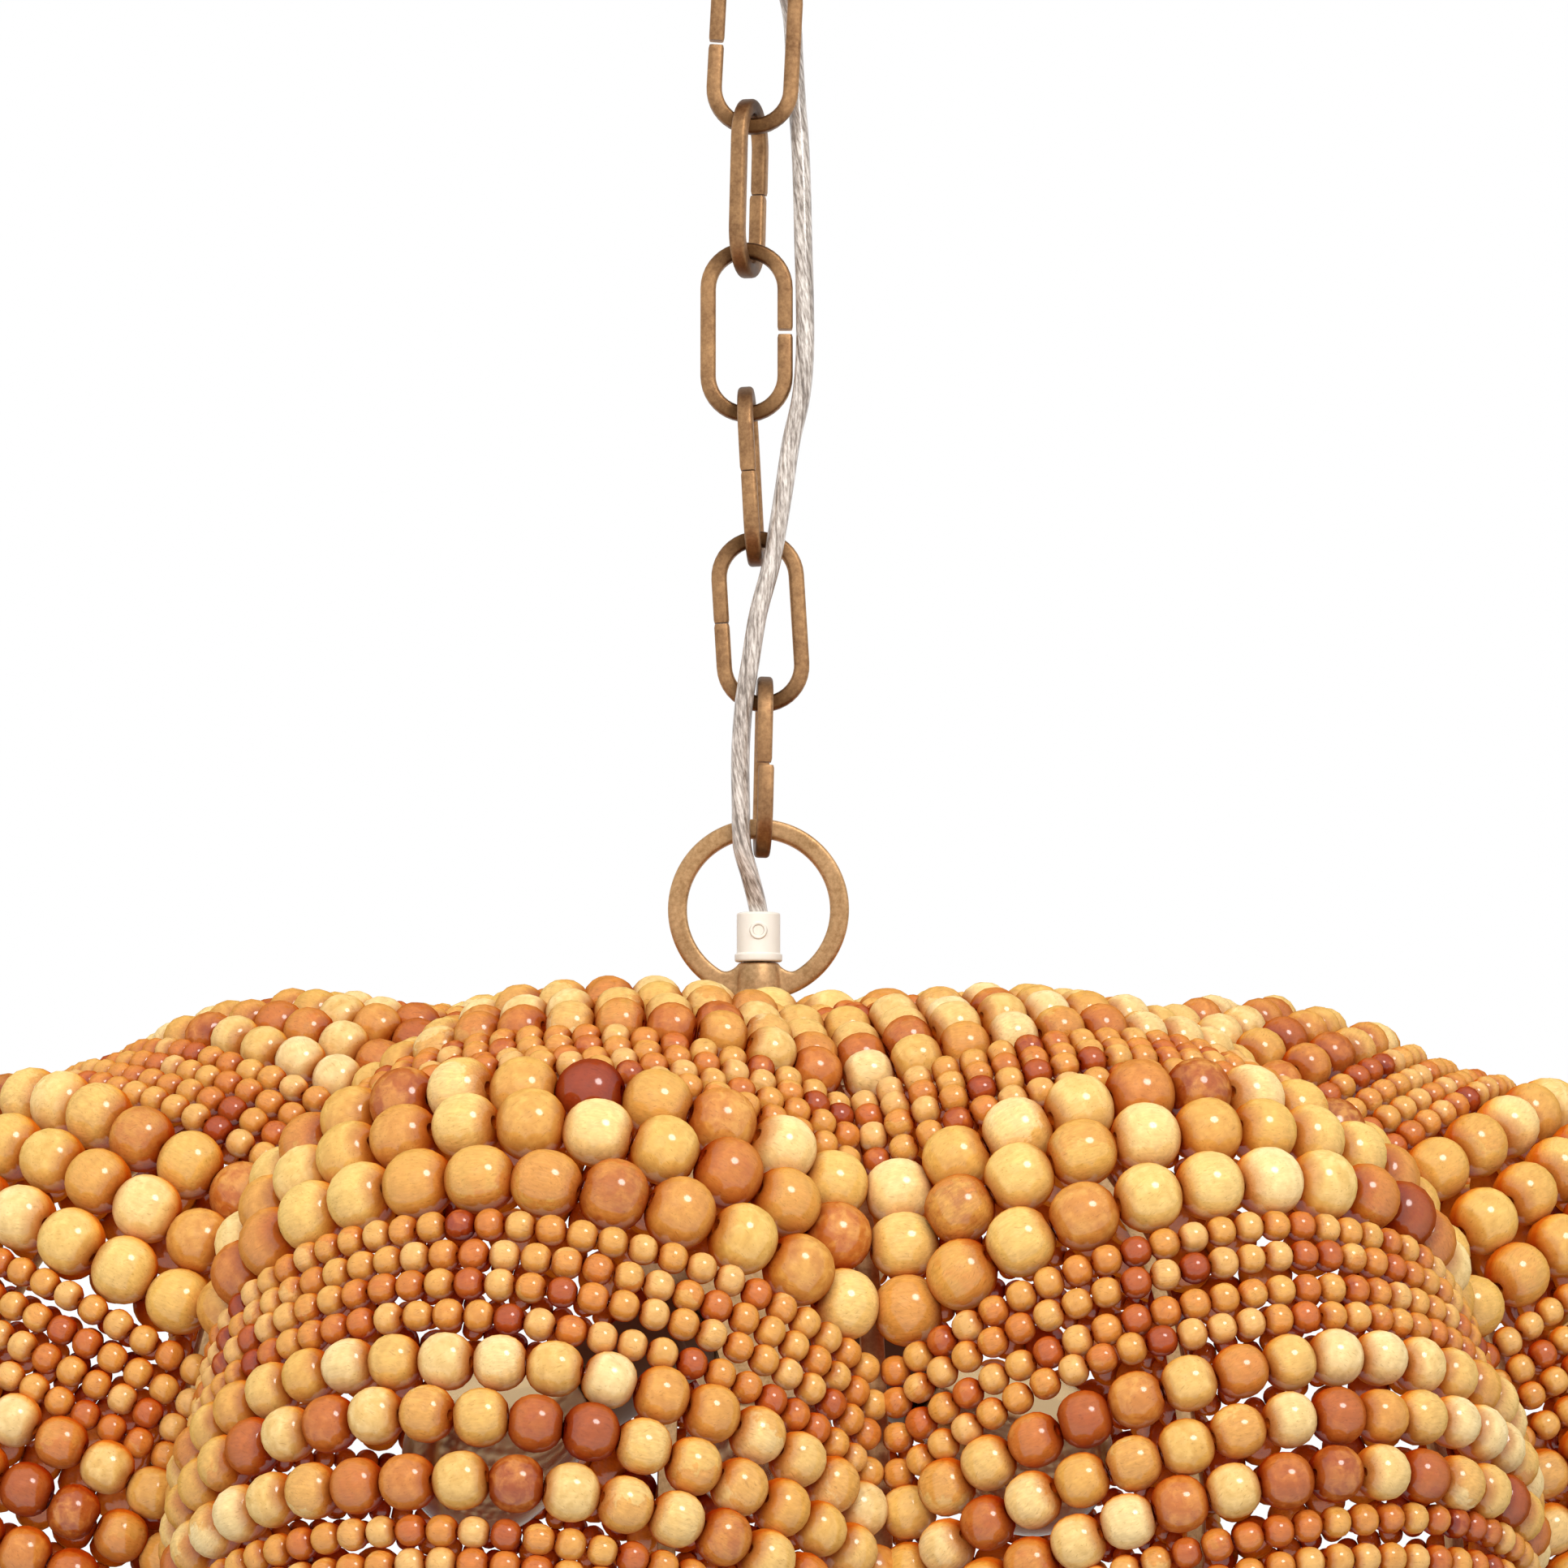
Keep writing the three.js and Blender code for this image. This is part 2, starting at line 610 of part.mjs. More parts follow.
const firstValley = shadeTurn - Math.PI / 2;
function rowGeometry(index) {
  const row = rows[index];
  const shares = stationShares[row.band.stations];
  const rings = [];
  for (let lobe = 0; lobe < lobeCount; lobe++) {
    for (const share of shares) {
      const { here, along, out } = rowDirections(index, share);
      const angle = firstValley + (lobe + share) * lobeAngle;
      const width = rowHalfWidth(index, share);
      const depth = row.band.bead / 2;
      const places = [[1, 0], [0, 1], [-1, 0], [0, -1]].map(([a, b]) => here.clone()
        .addScaledVector(along, a * width).addScaledVector(out, b * depth));
      rings.push(places.map((place) => atAzimuth(place, angle)));
    }
  }
  return loft(rings, true);
}
const woods = { [largeBead]: finishes.largeWood, [mediumBead]: finishes.mediumWood, [smallBead]: finishes.smallWood };
rows.forEach((row, index) => add(shade, row.name, rowGeometry(index), woods[row.band.bead]()));

// Top cap: a dished disc under the boss that closes the crown's middle
const capTop = -bossFoot - seatGap;
const capProfile = [
  [stemRadius + seatGap, capTop], [bossRadius + bossFlare, capTop], [capRadius, capTop - capDish],
  [capRadius, capTop - capDish - capThickness], [bossRadius + bossFlare, capTop - capThickness],
  [stemRadius + seatGap, capTop - capThickness], [stemRadius + seatGap, capTop],
];
add(shade, 'top_cap', turned(capProfile, 24), finishes.brass());

const spacerTop = capTop - capThickness - seatGap;
const stemTop = stemThread - bossFoot - seatGap;
const stemFoot = stemTop - stemLength;
add(shade, 'centre_stem', turned(tubeProfile(stemRadius, nippleBore / 2, stemTop, stemFoot), 16), finishes.steel());

// Wire frame: a hub plate, a rib under every valley and a hoop inside the rim row, welded in one
function ribUnder(index) {
  const { here, out } = rowDirections(index, 0);
  return here.clone().addScaledVector(out, -(rows[index].band.bead / 2 + ribGap + ribThickness / 2));
}
const firstRib = ribUnder(0);
const hubTop = firstRib.y + hubThickness / 2;
function frameGeometry() {
  const laced = [];
  rows.forEach((row, index) => {
    const first = index === 0 || rows[index - 1].band !== row.band;
    const last = index === rows.length - 1 || rows[index + 1].band !== row.band;
    if (row.band.bead > smallBead && (first || last)) {
      laced.push(index);
    }
  });
  const path = [new THREE.Vector2(hubRadius - ribThickness, firstRib.y), ...laced.map(ribUnder)];
  let frame = solidOf(turned(tubeProfile(hubRadius, stemRadius + seatGap, hubTop, hubTop - hubThickness), 24));
  for (let lobe = 0; lobe < lobeCount; lobe++) {
    const angle = firstValley + lobe * lobeAngle;
    const side = new THREE.Vector3(-Math.sin(angle), Math.cos(angle), 0);
    const rings = path.map((place, i) => {
      const back = path[Math.max(0, i - 1)];
      const ahead = path[Math.min(path.length - 1, i + 1)];
      const along = ahead.clone().sub(back).normalize();
      const out = new THREE.Vector2(-along.y, along.x);
      const upper = atAzimuth(place.clone().addScaledVector(out, ribThickness / 2), angle);
      const lower = atAzimuth(place.clone().addScaledVector(out, -ribThickness / 2), angle);
      return [
        upper.clone().addScaledVector(side, -ribWidth / 2), upper.clone().addScaledVector(side, ribWidth / 2),
        lower.clone().addScaledVector(side, ribWidth / 2), lower.clone().addScaledVector(side, -ribWidth / 2),
      ];
    });
    frame = frame.add(solidOf(loft(rings, false)));
  }
  const rim = rows.length - 1;
  const hoop = [];
  for (let lobe = 0; lobe < lobeCount; lobe++) {
    for (const share of stationShares[rows[rim].band.stations]) {
      const { here, along, out } = rowDirections(rim, share);
      const centre = here.clone().addScaledVector(out, -(rows[rim].band.bead / 2 + ribGap + hoopWire / 2));
      const angle = firstValley + (lobe + share) * lobeAngle;
      hoop.push([[1, 1], [-1, 1], [-1, -1], [1, -1]].map(([a, b]) => atAzimuth(centre.clone()
        .addScaledVector(along, a * hoopWire / 2).addScaledVector(out, b * hoopWire / 2), angle)));
    }
  }
  return geometryOf(frame.add(solidOf(loft(hoop, true))));
}
add(shade, 'wire_frame', frameGeometry(), finishes.brass());
const spacerProfile = tubeProfile(spacerRadius, stemRadius + seatGap, spacerTop, hubTop + seatGap);
add(shade, 'stem_spacer', turned(spacerProfile, 16), finishes.brass());
add(shade, 'hub_nut', hexNut(hubTop - hubThickness - seatGap, stemRadius + seatGap), finishes.steel());

// Lamp cluster: a six-sided hopper on the stem's foot, with a socket and a bulb on every second side
const clusterTop = stemFoot + stemThread;
const clusterFoot = clusterTop - clusterHeight;
function clusterGeometry() {
  const sides = 2 * lampCount;
  const turn = Math.PI / sides;
  const hopper = new THREE.CylinderGeometry(
    clusterTopRadius, clusterFootRadius, clusterHeight, sides, 1, false, turn,
  );
  hopper.rotateX(Math.PI / 2);
  hopper.translate(0, 0, clusterTop - clusterHeight / 2);
  const thread = solidOf(turned([
    [0, clusterTop + cutOverrun], [stemRadius + seatGap, clusterTop + cutOverrun],
    [stemRadius + seatGap, clusterTop - stemThread - seatGap], [0, clusterTop - stemThread - seatGap],
  ], 16));
  return geometryOf(solidOf(hopper).subtract(thread));
}
add(shade, 'lamp_cluster', clusterGeometry(), finishes.brass());

const sideFacing = Math.cos(Math.PI / (2 * lampCount));
const sideSlope = Math.atan2((clusterTopRadius - clusterFootRadius) * sideFacing, clusterHeight);
const sideReach = (clusterTopRadius + clusterFootRadius) / 2 * sideFacing;
const socketProfile = [
  [0, 0], [socketRadius, 0], [socketRadius, socketLength], [socketRadius - socketWall, socketLength],
  [socketRadius - socketWall, socketLength - socketDepth], [0, socketLength - socketDepth],
];
function bulbProfile() {
  const profile = [[0, 0], [bulbNeck, 0], [bulbNeck, socketDepth]];
  const steps = 4;
  const bow = bulbLength - bulbRadius;
  profile.push([bulbRadius * 0.8, bow - bulbRadius * 0.6]);
  for (let i = 0; i <= steps; i++) {
    const angle = (i / steps) * (Math.PI / 2);
    profile.push([bulbRadius * Math.cos(angle), bow + bulbRadius * Math.sin(angle)]);
  }
  profile[profile.length - 1][0] = 0;
  return profile;
}
for (let i = 0; i < lampCount; i++) {
  const arm = new THREE.Group();
  const angle = (i / lampCount) * 2 * Math.PI + Math.PI / 2;
  arm.rotation.order = 'ZYX';
  arm.rotation.z = angle;
  arm.rotation.y = Math.PI / 2 + sideSlope;
  arm.position.set(Math.cos(angle) * sideReach, Math.sin(angle) * sideReach, clusterTop - clusterHeight / 2);
  shade.add(arm);
  const socket = add(arm, `lamp_socket_${i + 1}`, turned(socketProfile, 16), finishes.ivory());
  socket.position.z = seatGap;
  const bulb = add(arm, `bulb_${i + 1}`, turned(bulbProfile(), 16), finishes.glass());
  bulb.position.z = 2 * seatGap + socketLength - socketDepth;
}

const finialTop = clusterFoot - seatGap;
const finialProfile = [
  [0, finialTop], [finialRadius, finialTop], [finialRadius, finialTop - finialHeight / 5],
  [finialRadius / 2, finialTop - finialHeight / 3], [finialRadius * 0.7, finialTop - finialHeight * 0.6],
  [finialRadius / 2, finialTop - finialHeight * 0.9], [0, finialTop - finialHeight],
];
add(shade, 'cluster_finial', turned(finialProfile, 16), finishes.brass());

export default chandelier;
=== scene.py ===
"""Beaded chandelier: strings of lacquered wooden beads on a scalloped frame, hung on a chain of
split brass links, with a clear twin cord. Metres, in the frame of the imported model."""

from math import acos, asin, atan2, cos, dist, pi, radians, sin, tau

import bmesh
import bpy
import numpy as np
from mathutils import Matrix, Vector


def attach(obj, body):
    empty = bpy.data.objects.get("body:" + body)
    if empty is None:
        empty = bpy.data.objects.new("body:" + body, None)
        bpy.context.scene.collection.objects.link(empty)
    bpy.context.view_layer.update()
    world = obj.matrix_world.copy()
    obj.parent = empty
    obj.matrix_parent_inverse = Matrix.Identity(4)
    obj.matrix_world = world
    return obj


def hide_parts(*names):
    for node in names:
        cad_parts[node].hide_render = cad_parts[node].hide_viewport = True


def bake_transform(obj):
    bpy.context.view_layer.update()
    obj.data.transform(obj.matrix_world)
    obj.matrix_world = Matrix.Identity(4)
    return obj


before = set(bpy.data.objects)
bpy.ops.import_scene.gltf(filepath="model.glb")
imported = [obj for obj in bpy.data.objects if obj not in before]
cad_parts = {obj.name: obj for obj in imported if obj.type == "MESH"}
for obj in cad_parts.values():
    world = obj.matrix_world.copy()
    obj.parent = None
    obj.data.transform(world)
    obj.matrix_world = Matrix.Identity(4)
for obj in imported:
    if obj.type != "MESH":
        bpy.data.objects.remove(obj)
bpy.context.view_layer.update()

MM = 0.001
CROWN = -369.76          # the crown's level below the ceiling, mm
AXIS_X = Vector((1, 0, 0))
AXIS_Y = Vector((0, 1, 0))
UP = Vector((0, 0, 1))


def placed(name, data):
    made = bpy.data.objects.new(name, data)
    bpy.context.scene.collection.objects.link(made)
    return made


# Camera: a little below the crown and tipped up, as in the photo
CAMERA_ASIDE = 0.00738
CAMERA_DISTANCE = 1.603
CAMERA_DROP = 85.0       # below the crown, mm
CAMERA_TILT = radians(95.18)
camera = bpy.data.cameras.new("photo_camera")
camera.sensor_width = 36.0
camera.lens = 127.4
camera.clip_end = 60.0
camera_object = placed("photo_camera", camera)
camera_object.location = (CAMERA_ASIDE, -CAMERA_DISTANCE, (CROWN - CAMERA_DROP) * MM)
camera_object.rotation_euler = (CAMERA_TILT, 0, 0)
bpy.context.scene.camera = camera_object


# Mesh helpers
def object_of(name, shape, smooth_angle=35.0):
    """An object of a shape's points and faces, with the faces turned outwards."""
    vertices, faces = shape
    mesh = bpy.data.meshes.new(name)
    mesh.from_pydata([tuple(v) for v in vertices], [], faces)
    work = bmesh.new()
    work.from_mesh(mesh)
    bmesh.ops.recalc_face_normals(work, faces=work.faces)
    work.to_mesh(mesh)
    work.free()
    mesh.polygons.foreach_set("use_smooth", [True] * len(mesh.polygons))
    mesh.set_sharp_from_angle(angle=radians(smooth_angle))
    mesh.update()
    return placed(name, mesh)


def finished_mesh(source):
    """The mesh that the source's modifiers give, once the source itself is gone."""
    graph = bpy.context.evaluated_depsgraph_get()
    mesh = bpy.data.meshes.new_from_object(source.evaluated_get(graph))
    bpy.data.objects.remove(source)
    return mesh


def mark_points(mesh, name, values, kind="FLOAT_VECTOR", field="vector"):
    marks = mesh.attributes.new(name, kind, "POINT")
    marks.data.foreach_set(field, np.asarray(values, dtype=np.float32).ravel())


def skin(rings, closed=False, first=0):
    """Faces over rings of points with equal counts, with flat ends where the skin is open."""
    sides = len(rings[0])
    vertices = [p for ring in rings for p in ring]
    faces = []
    spans = len(rings) if closed else len(rings) - 1
    for i in range(spans):
        here = first + i * sides
        there = first + ((i + 1) % len(rings)) * sides
        for j in range(sides):
            k = (j + 1) % sides
            faces.append((here + j, there + j, there + k, here + k))
    if not closed:
        faces.append(tuple(first + j for j in range(sides)))
        faces.append(tuple(first + (len(rings) - 1) * sides + j for j in range(sides)))
    return vertices, faces


def turned(profile, segments=64, place=Matrix.Identity(4), first=0):
    """A lathe round local Z. The profile's millimetres run from one end to the other."""
    vertices = []
    faces = []
    rows = []
    for radius, height in profile:
        if radius < 1e-6:
            rows.append([first + len(vertices)])
            vertices.append(place @ Vector((0, 0, height * MM)))
        else:
            start = first + len(vertices)
            rows.append(list(range(start, start + segments)))
            for i in range(segments):
                turn = tau * i / segments
                spot = Vector((radius * cos(turn), radius * sin(turn), height))
                vertices.append(place @ (spot * MM))
    for low, high in zip(rows, rows[1:]):
        for i in range(segments):
            k = (i + 1) % segments
            corners = [low[i % len(low)], low[k % len(low)], high[k % len(high)], high[i % len(high)]]
            kept = list(dict.fromkeys(corners))
            if len(kept) > 2:
                faces.append(tuple(kept))
    return vertices, faces


def joined(parts):
    vertices = []
    faces = []
    for make in parts:
        more, new_faces = make(len(vertices))
        vertices += more
        faces += new_faces
    return vertices, faces


def lathe_part(profile, segments=64, place=Matrix.Identity(4)):
    return lambda first: turned(profile, segments, place, first)


def skin_part(rings, closed=False):
    return lambda first: skin(rings, closed, first)


def rounded_profile(points, radius, steps=4):
    """The outline with its inner corners rounded off, for edges that catch the light."""
    out = [points[0]]
    for before, corner, after in zip(points, points[1:], points[2:]):
        b, c, a = (Vector(p) for p in (before, corner, after))
        back, ahead = b - c, a - c
        reach = min(radius, back.length * 0.45, ahead.length * 0.45)
        if reach < 1e-4 or corner[0] < 1e-6:
            out.append(corner)
            continue
        start = c + back.normalized() * reach
        end = c + ahead.normalized() * reach
        for i in range(steps + 1):
            t = i / steps
            p = start * (1 - t) ** 2 + c * 2 * t * (1 - t) + end * t ** 2
            out.append((max(p.x, 0), p.y))
    out.append(points[-1])
    return out


def soft_square(width, depth, corner, steps):
    """Points of a square section with rounded corners, in millimetres."""
    points = []
    for sx, sy, start in ((1, 1, 0), (-1, 1, 90), (-1, -1, 180), (1, -1, 270)):
        cx = sx * (width / 2 - corner)
        cy = sy * (depth / 2 - corner)
        for i in range(steps + 1):
            turn = radians(start + 90 * i / steps)
            points.append((cx + corner * cos(turn), cy + corner * sin(turn)))
    return points


# Shader helpers
def linear(red, green, blue):
    def one(c):
        c /= 255.0
        return c / 12.92 if c <= 0.04045 else ((c + 0.055) / 1.055) ** 2.4
    return (one(red), one(green), one(blue), 1.0)


def fill(tree, socket, value):
    if isinstance(value, bpy.types.NodeSocket):
        tree.links.new(value, socket)
    else:
        socket.default_value = value


def feed(tree, made, **inputs):
    """Fills a node's named inputs, where an underscore stands for a space."""
    for key, value in inputs.items():
        fill(tree, made.inputs[key.replace("_", " ")], value)


def node(tree, kind, settings=None, **inputs):
    made = tree.nodes.new(kind)
    for key, value in (settings or {}).items():
        setattr(made, key, value)
    feed(tree, made, **inputs)
    return made


def material_of(name):
    material = bpy.data.materials.new(name)
    material.use_nodes = True
    tree = material.node_tree
    tree.nodes.clear()
    shader = node(tree, "ShaderNodeBsdfPrincipled")
    node(tree, "ShaderNodeOutputMaterial", Surface=shader.outputs["BSDF"])
    return material, tree, shader


def reckoned(tree, kind, operation, values):
    made = node(tree, kind, {"operation": operation})
    for socket, value in zip(made.inputs, values):
        fill(tree, socket, value)
    return made.outputs


def maths(tree, operation, *values):
    return reckoned(tree, "ShaderNodeMath", operation, values)[0]


def times(tree, first, second):
    return maths(tree, "MULTIPLY", first, second)


def scaled(tree, value, factor, more):
    return maths(tree, "MULTIPLY_ADD", value, factor, more)


def vectors(tree, operation, *values):
    outputs = reckoned(tree, "ShaderNodeVectorMath", operation, values)
    return outputs["Value" if operation == "DOT_PRODUCT" else "Vector"]


def ramp(tree, factor, stops):
    """Colours over a factor. Each stop is a place and a colour of three or four values."""
    made = node(tree, "ShaderNodeValToRGB", Fac=factor)
    elements = made.color_ramp.elements
    while len(elements) < len(stops):
        elements.new(0.5)
    for element, (place, color) in zip(elements, stops):
        element.position = place
        element.color = color if len(color) == 4 else (*color, 1.0)
    return made.outputs["Color"]


def grey_ramp(tree, factor, start, end, first=0.0, last=1.0):
    return ramp(tree, factor, [(start, (first,) * 3), (end, (last,) * 3)])


def mix(tree, factor, first, second, blend="MIX"):
    made = node(tree, "ShaderNodeMix", {"data_type": "RGBA", "blend_type": blend})
    for name, value in (("Factor", factor), ("A", first), ("B", second)):
        kinds = ("VALUE",) if name == "Factor" else ("RGBA",)
        fill(tree, next(s for s in made.inputs if s.name == name and s.type in kinds), value)
    return next(s for s in made.outputs if s.type == "RGBA")


def multiplied(tree, first, second):
    return mix(tree, 1.0, first, second, "MULTIPLY")


def attribute(tree, name, output="Fac"):
    return node(tree, "ShaderNodeAttribute", {"attribute_name": name}).outputs[output]


def object_place(tree):
    return node(tree, "ShaderNodeTexCoord").outputs["Object"]


def noise(tree, place, scale, detail, roughness=0.5, distortion=0.0):
    return node(tree, "ShaderNodeTexNoise", Vector=place, Scale=scale, Detail=detail,
                Roughness=roughness, Distortion=distortion).outputs["Fac"]


def shared(tree, group):
    return node(tree, "ShaderNodeGroup", {"node_tree": group}).outputs


def close_group(group, **outputs):
    """The group with its named outputs: a vector for the normal and a value for the others."""
    for name in outputs:
        kind = "NodeSocketVector" if name == "Normal" else "NodeSocketFloat"
        group.interface.new_socket(name, in_out="OUTPUT", socket_type=kind)
    node(group, "NodeGroupOutput", **outputs)
    return group


# Wood grain, shared by the three bead woods. It reads each bead's own coordinates.
def wood_grain_group():
    group = bpy.data.node_groups.new("Wood grain", "ShaderNodeTree")
    seed = attribute(group, "bead_seed")
    shift = node(group, "ShaderNodeCombineXYZ", X=times(group, seed, 91.7),
                 Y=times(group, seed, 57.3), Z=times(group, seed, 33.1))
    moved = vectors(group, "ADD", attribute(group, "grain_at", "Vector"), shift.outputs[0])

    def mapped(place, **change):
        return node(group, "ShaderNodeMapping", Vector=place, **change).outputs[0]

    skewed = mapped(moved, Rotation=(0.5, 0.3, 0.0))
    fibre = noise(group, mapped(moved, Scale=(1.6, 1.6, 0.22)), 1.0, 3.0, 0.6)
    rings = node(group, "ShaderNodeTexWave", {"wave_type": "BANDS", "bands_direction": "Z"},
                 Vector=skewed, Scale=0.13, Distortion=3.0, Detail=2.0, Detail_Scale=0.6)
    specks = noise(group, mapped(skewed, Scale=(2.2, 2.2, 0.45)), 1.0, 2.0)
    sharp_specks = times(group, maths(group, "SUBTRACT", specks, 0.3), 12.0)
    pores = maths(group, "SMOOTH_MIN", 1.0, sharp_specks, 0.2)
    bump = node(group, "ShaderNodeBump", Strength=0.12, Distance=0.0002, Height=fibre)
    return close_group(
        group, Fibre=fibre, Rings=rings.outputs["Fac"], Patch=noise(group, moved, 0.11, 2.0, 0.45),
        Mottle=noise(group, moved, 0.3, 3.0, 0.55, 0.5), Pores=maths(group, "MAXIMUM", pores, 0.0),
        Normal=bump.outputs["Normal"])


wood_grain = wood_grain_group()


def wood_material(name, palette, ringed, roughness, half_length):
    """Lacquered wood: each bead has two tones of its own, with painted shade at its ends, where it
    touches its neighbours, and on its sides that face into the lampshade.
    """
    material, tree, shader = material_of(name)
    grain = shared(tree, wood_grain)
    tone = attribute(tree, "bead_tone")
    second_tone = attribute(tree, "bead_tone_two")
    place = attribute(tree, "grain_at", "Vector")

    near_tone = scaled(tree, maths(tree, "SUBTRACT", second_tone, 0.5), 0.5, tone)
    spread = scaled(tree, grain["Mottle"], 0.6, times(tree, grain["Patch"], 0.4))
    amount = times(tree, grey_ramp(tree, spread, 0.44, 0.6), 0.55)
    color = mix(tree, amount, ramp(tree, tone, palette), ramp(tree, near_tone, palette))

    # Darker heartwood on one side of some beads
    across = vectors(tree, "DOT_PRODUCT", place, (0.8, 0.5, 0.33))
    beside = scaled(tree, across, 0.5 / half_length, grain["Mottle"])
    some = grey_ramp(tree, second_tone, 0.7, 0.76, 0.0, 0.85)
    heart = times(tree, grey_ramp(tree, beside, 0.5, 0.58), some)
    heart_tone = scaled(tree, tone, 0.4, 0.58)
    color = mix(tree, heart, color, ramp(tree, heart_tone, palette))

    strength = scaled(tree, second_tone, 0.5, 0.1)
    lines = scaled(tree, maths(tree, "SUBTRACT", grain["Fibre"], 0.48), strength, 1.0)
    bands = scaled(tree, grain["Rings"], ringed, 1.0 - ringed * 0.6)
    clouds = scaled(tree, grain["Mottle"], 0.5, 0.76)
    dots = scaled(tree, grain["Pores"], 0.2, 0.8)
    drawn = times(tree, lines, bands)
    shade = times(tree, drawn, times(tree, clouds, dots))
    warm_shade = node(tree, "ShaderNodeCombineColor", Red=shade, Green=maths(tree, "POWER", shade, 1.25),
                      Blue=maths(tree, "POWER", shade, 1.7))
    color = multiplied(tree, color, warm_shade.outputs[0])

    # Painted shade at the bead's two ends, where it touches its neighbours in the row.
    along = node(tree, "ShaderNodeSeparateXYZ", Vector=place).outputs["Z"]
    end = maths(tree, "DIVIDE", maths(tree, "ABSOLUTE", along), half_length)
    painted_end_shade = grey_ramp(tree, end, 0.62, 1.0, 0.0, 0.85)
    color = mix(tree, painted_end_shade, color, multiplied(tree, color, linear(196, 132, 84)))
    # Painted shade: the sides that face into the lampshade, towards the rows around them, turn deep
    # orange-brown, and the sides that face out keep their colour.
    out_facing = scaled(tree, attribute(tree, "outwards"), 0.5, 0.5)
    painted_inner_shade = ramp(tree, out_facing, [(0.5, linear(240, 152, 66)), (0.6, linear(252, 220, 164)),
                                     (0.75, (1, 1, 1))])
    facing = node(tree, "ShaderNodeLayerWeight", Blend=0.5).outputs["Facing"]
    feed(tree, shader, Base_Color=multiplied(tree, color, painted_inner_shade), Normal=grain["Normal"],
         Roughness=scaled(tree, grain["Fibre"], 0.16, roughness), Specular_IOR_Level=0.0,
         Coat_Weight=grey_ramp(tree, facing, 0.2, 0.62, 1.0, 0.02), Coat_Roughness=0.13, Coat_IOR=1.6,
         Coat_Tint=(1.0, 0.93, 0.79, 1.0))
    return material


def wood_colors(*stops):
    """Colours from pale to dark, each with its place on the way."""
    return [(place, linear(*color)) for place, *color in stops]


# Bead diameters, mm
LARGE = 18.0
MEDIUM = 14.0
SMALL = 8.0
woods = {
    LARGE: wood_material("large_wood", wood_colors(
        (0.0, 238, 212, 156), (0.22, 230, 197, 124), (0.52, 222, 181, 100), (0.78, 212, 158, 80),
        (0.92, 194, 116, 52), (1.0, 142, 54, 20)), 0.03, 0.32, 8.4),
    MEDIUM: wood_material("medium_wood", wood_colors(
        (0.0, 232, 208, 156), (0.22, 224, 189, 122), (0.5, 215, 170, 90), (0.74, 207, 146, 72),
        (0.9, 190, 110, 48), (1.0, 146, 60, 24)), 0.05, 0.34, 6.4),
    SMALL: wood_material("small_wood", wood_colors(
        (0.0, 220, 176, 112), (0.25, 214, 164, 88), (0.5, 209, 149, 72), (0.73, 203, 129, 55),
        (0.9, 188, 100, 42), (1.0, 148, 56, 22)), 0.04, 0.36, 3.6),
}


def patina_group():
    """Masks for old brass: dark stain and fine wear, in object coordinates."""
    group = bpy.data.node_groups.new("Patina", "ShaderNodeTree")
    place = object_place(group)
    wear = noise(group, place, 700.0, 3.0, 0.7)
    bump = node(group, "ShaderNodeBump", Strength=0.15, Distance=0.0002, Height=wear)
    return close_group(group, Stain=noise(group, place, 90.0, 4.0, 0.6), Wear=wear,
                       Normal=bump.outputs["Normal"])


patina = patina_group()
METAL_CONTRAST = 0.16
PLASTIC_SPECKLE = 0.04
CORD_TWIST = 0.07        # radians for each millimetre


def metal_material(name, dark, bright, roughness, contact_shaded=False):
    """Old metal with fine marks. With the flag set, it gets painted shade where its piece's contact mask
    says so, at a chain link's bends where the links hang in each other.
    """
    material, tree, shader = material_of(name)
    marks = shared(tree, patina)
    mixed = scaled(tree, marks["Wear"], 0.5, times(tree, marks["Stain"], 0.5))
    color = ramp(tree, mixed, [(0.5 - METAL_CONTRAST, dark), (0.5 + METAL_CONTRAST, bright)])
    if contact_shaded:
        # Painted shade at the bends, where the links hang in each other.
        contact = attribute(tree, "contact")
        painted_contact_shade = ramp(tree, contact, [(0.2, (1, 1, 1)), (1.0, linear(150, 138, 124))])
        color = multiplied(tree, color, painted_contact_shade)
    feed(tree, shader, Base_Color=color, Normal=marks["Normal"], Metallic=1.0,
         Roughness=scaled(tree, marks["Stain"], 0.25, roughness - 0.12))
    return material


brass = metal_material("antique_brass", linear(160, 122, 80), linear(218, 178, 132), 0.48)
chain_brass = metal_material("chain_brass", linear(132, 96, 66), linear(192, 150, 106), 0.48, True)
steel = metal_material("plain_steel", linear(112, 110, 106), linear(176, 174, 168), 0.4)


def plastic_material(name, color, roughness):
    material, tree, shader = material_of(name)
    grime = noise(tree, object_place(tree), 260.0, 3.0)
    factor = scaled(tree, grime, PLASTIC_SPECKLE * 2, 1.0 - PLASTIC_SPECKLE)
    tone = node(tree, "ShaderNodeCombineColor", Red=factor, Green=factor, Blue=factor)
    bump = node(tree, "ShaderNodeBump", Strength=0.06, Distance=0.0002, Height=grime)
    feed(tree, shader, Base_Color=multiplied(tree, color, tone.outputs[0]),
         Roughness=scaled(tree, grime, 0.15, roughness), Normal=bump.outputs["Normal"],
         Subsurface_Weight=0.15, Subsurface_Radius=(0.001, 0.001, 0.0008))
    return material


ivory = plastic_material("ivory_plastic", linear(233, 228, 218), 0.32)
# Dark brown ivory for the lamp sockets: painted shade for the dim inside of the lampshade.
painted_shade_ivory = plastic_material("painted_shade_ivory", linear(98, 66, 42), 0.6)


def glass_material():
    material, tree, shader = material_of("bulb_glass")
    waves = noise(tree, object_place(tree), 60.0, 1.0)
    feed(tree, shader, Roughness=scaled(tree, waves, 0.04, 0.18), IOR=1.12,
         Base_Color=(0.74, 0.62, 0.46, 1), Specular_IOR_Level=0.3, Transmission_Weight=1.0)
    return material


clear_glass = glass_material()


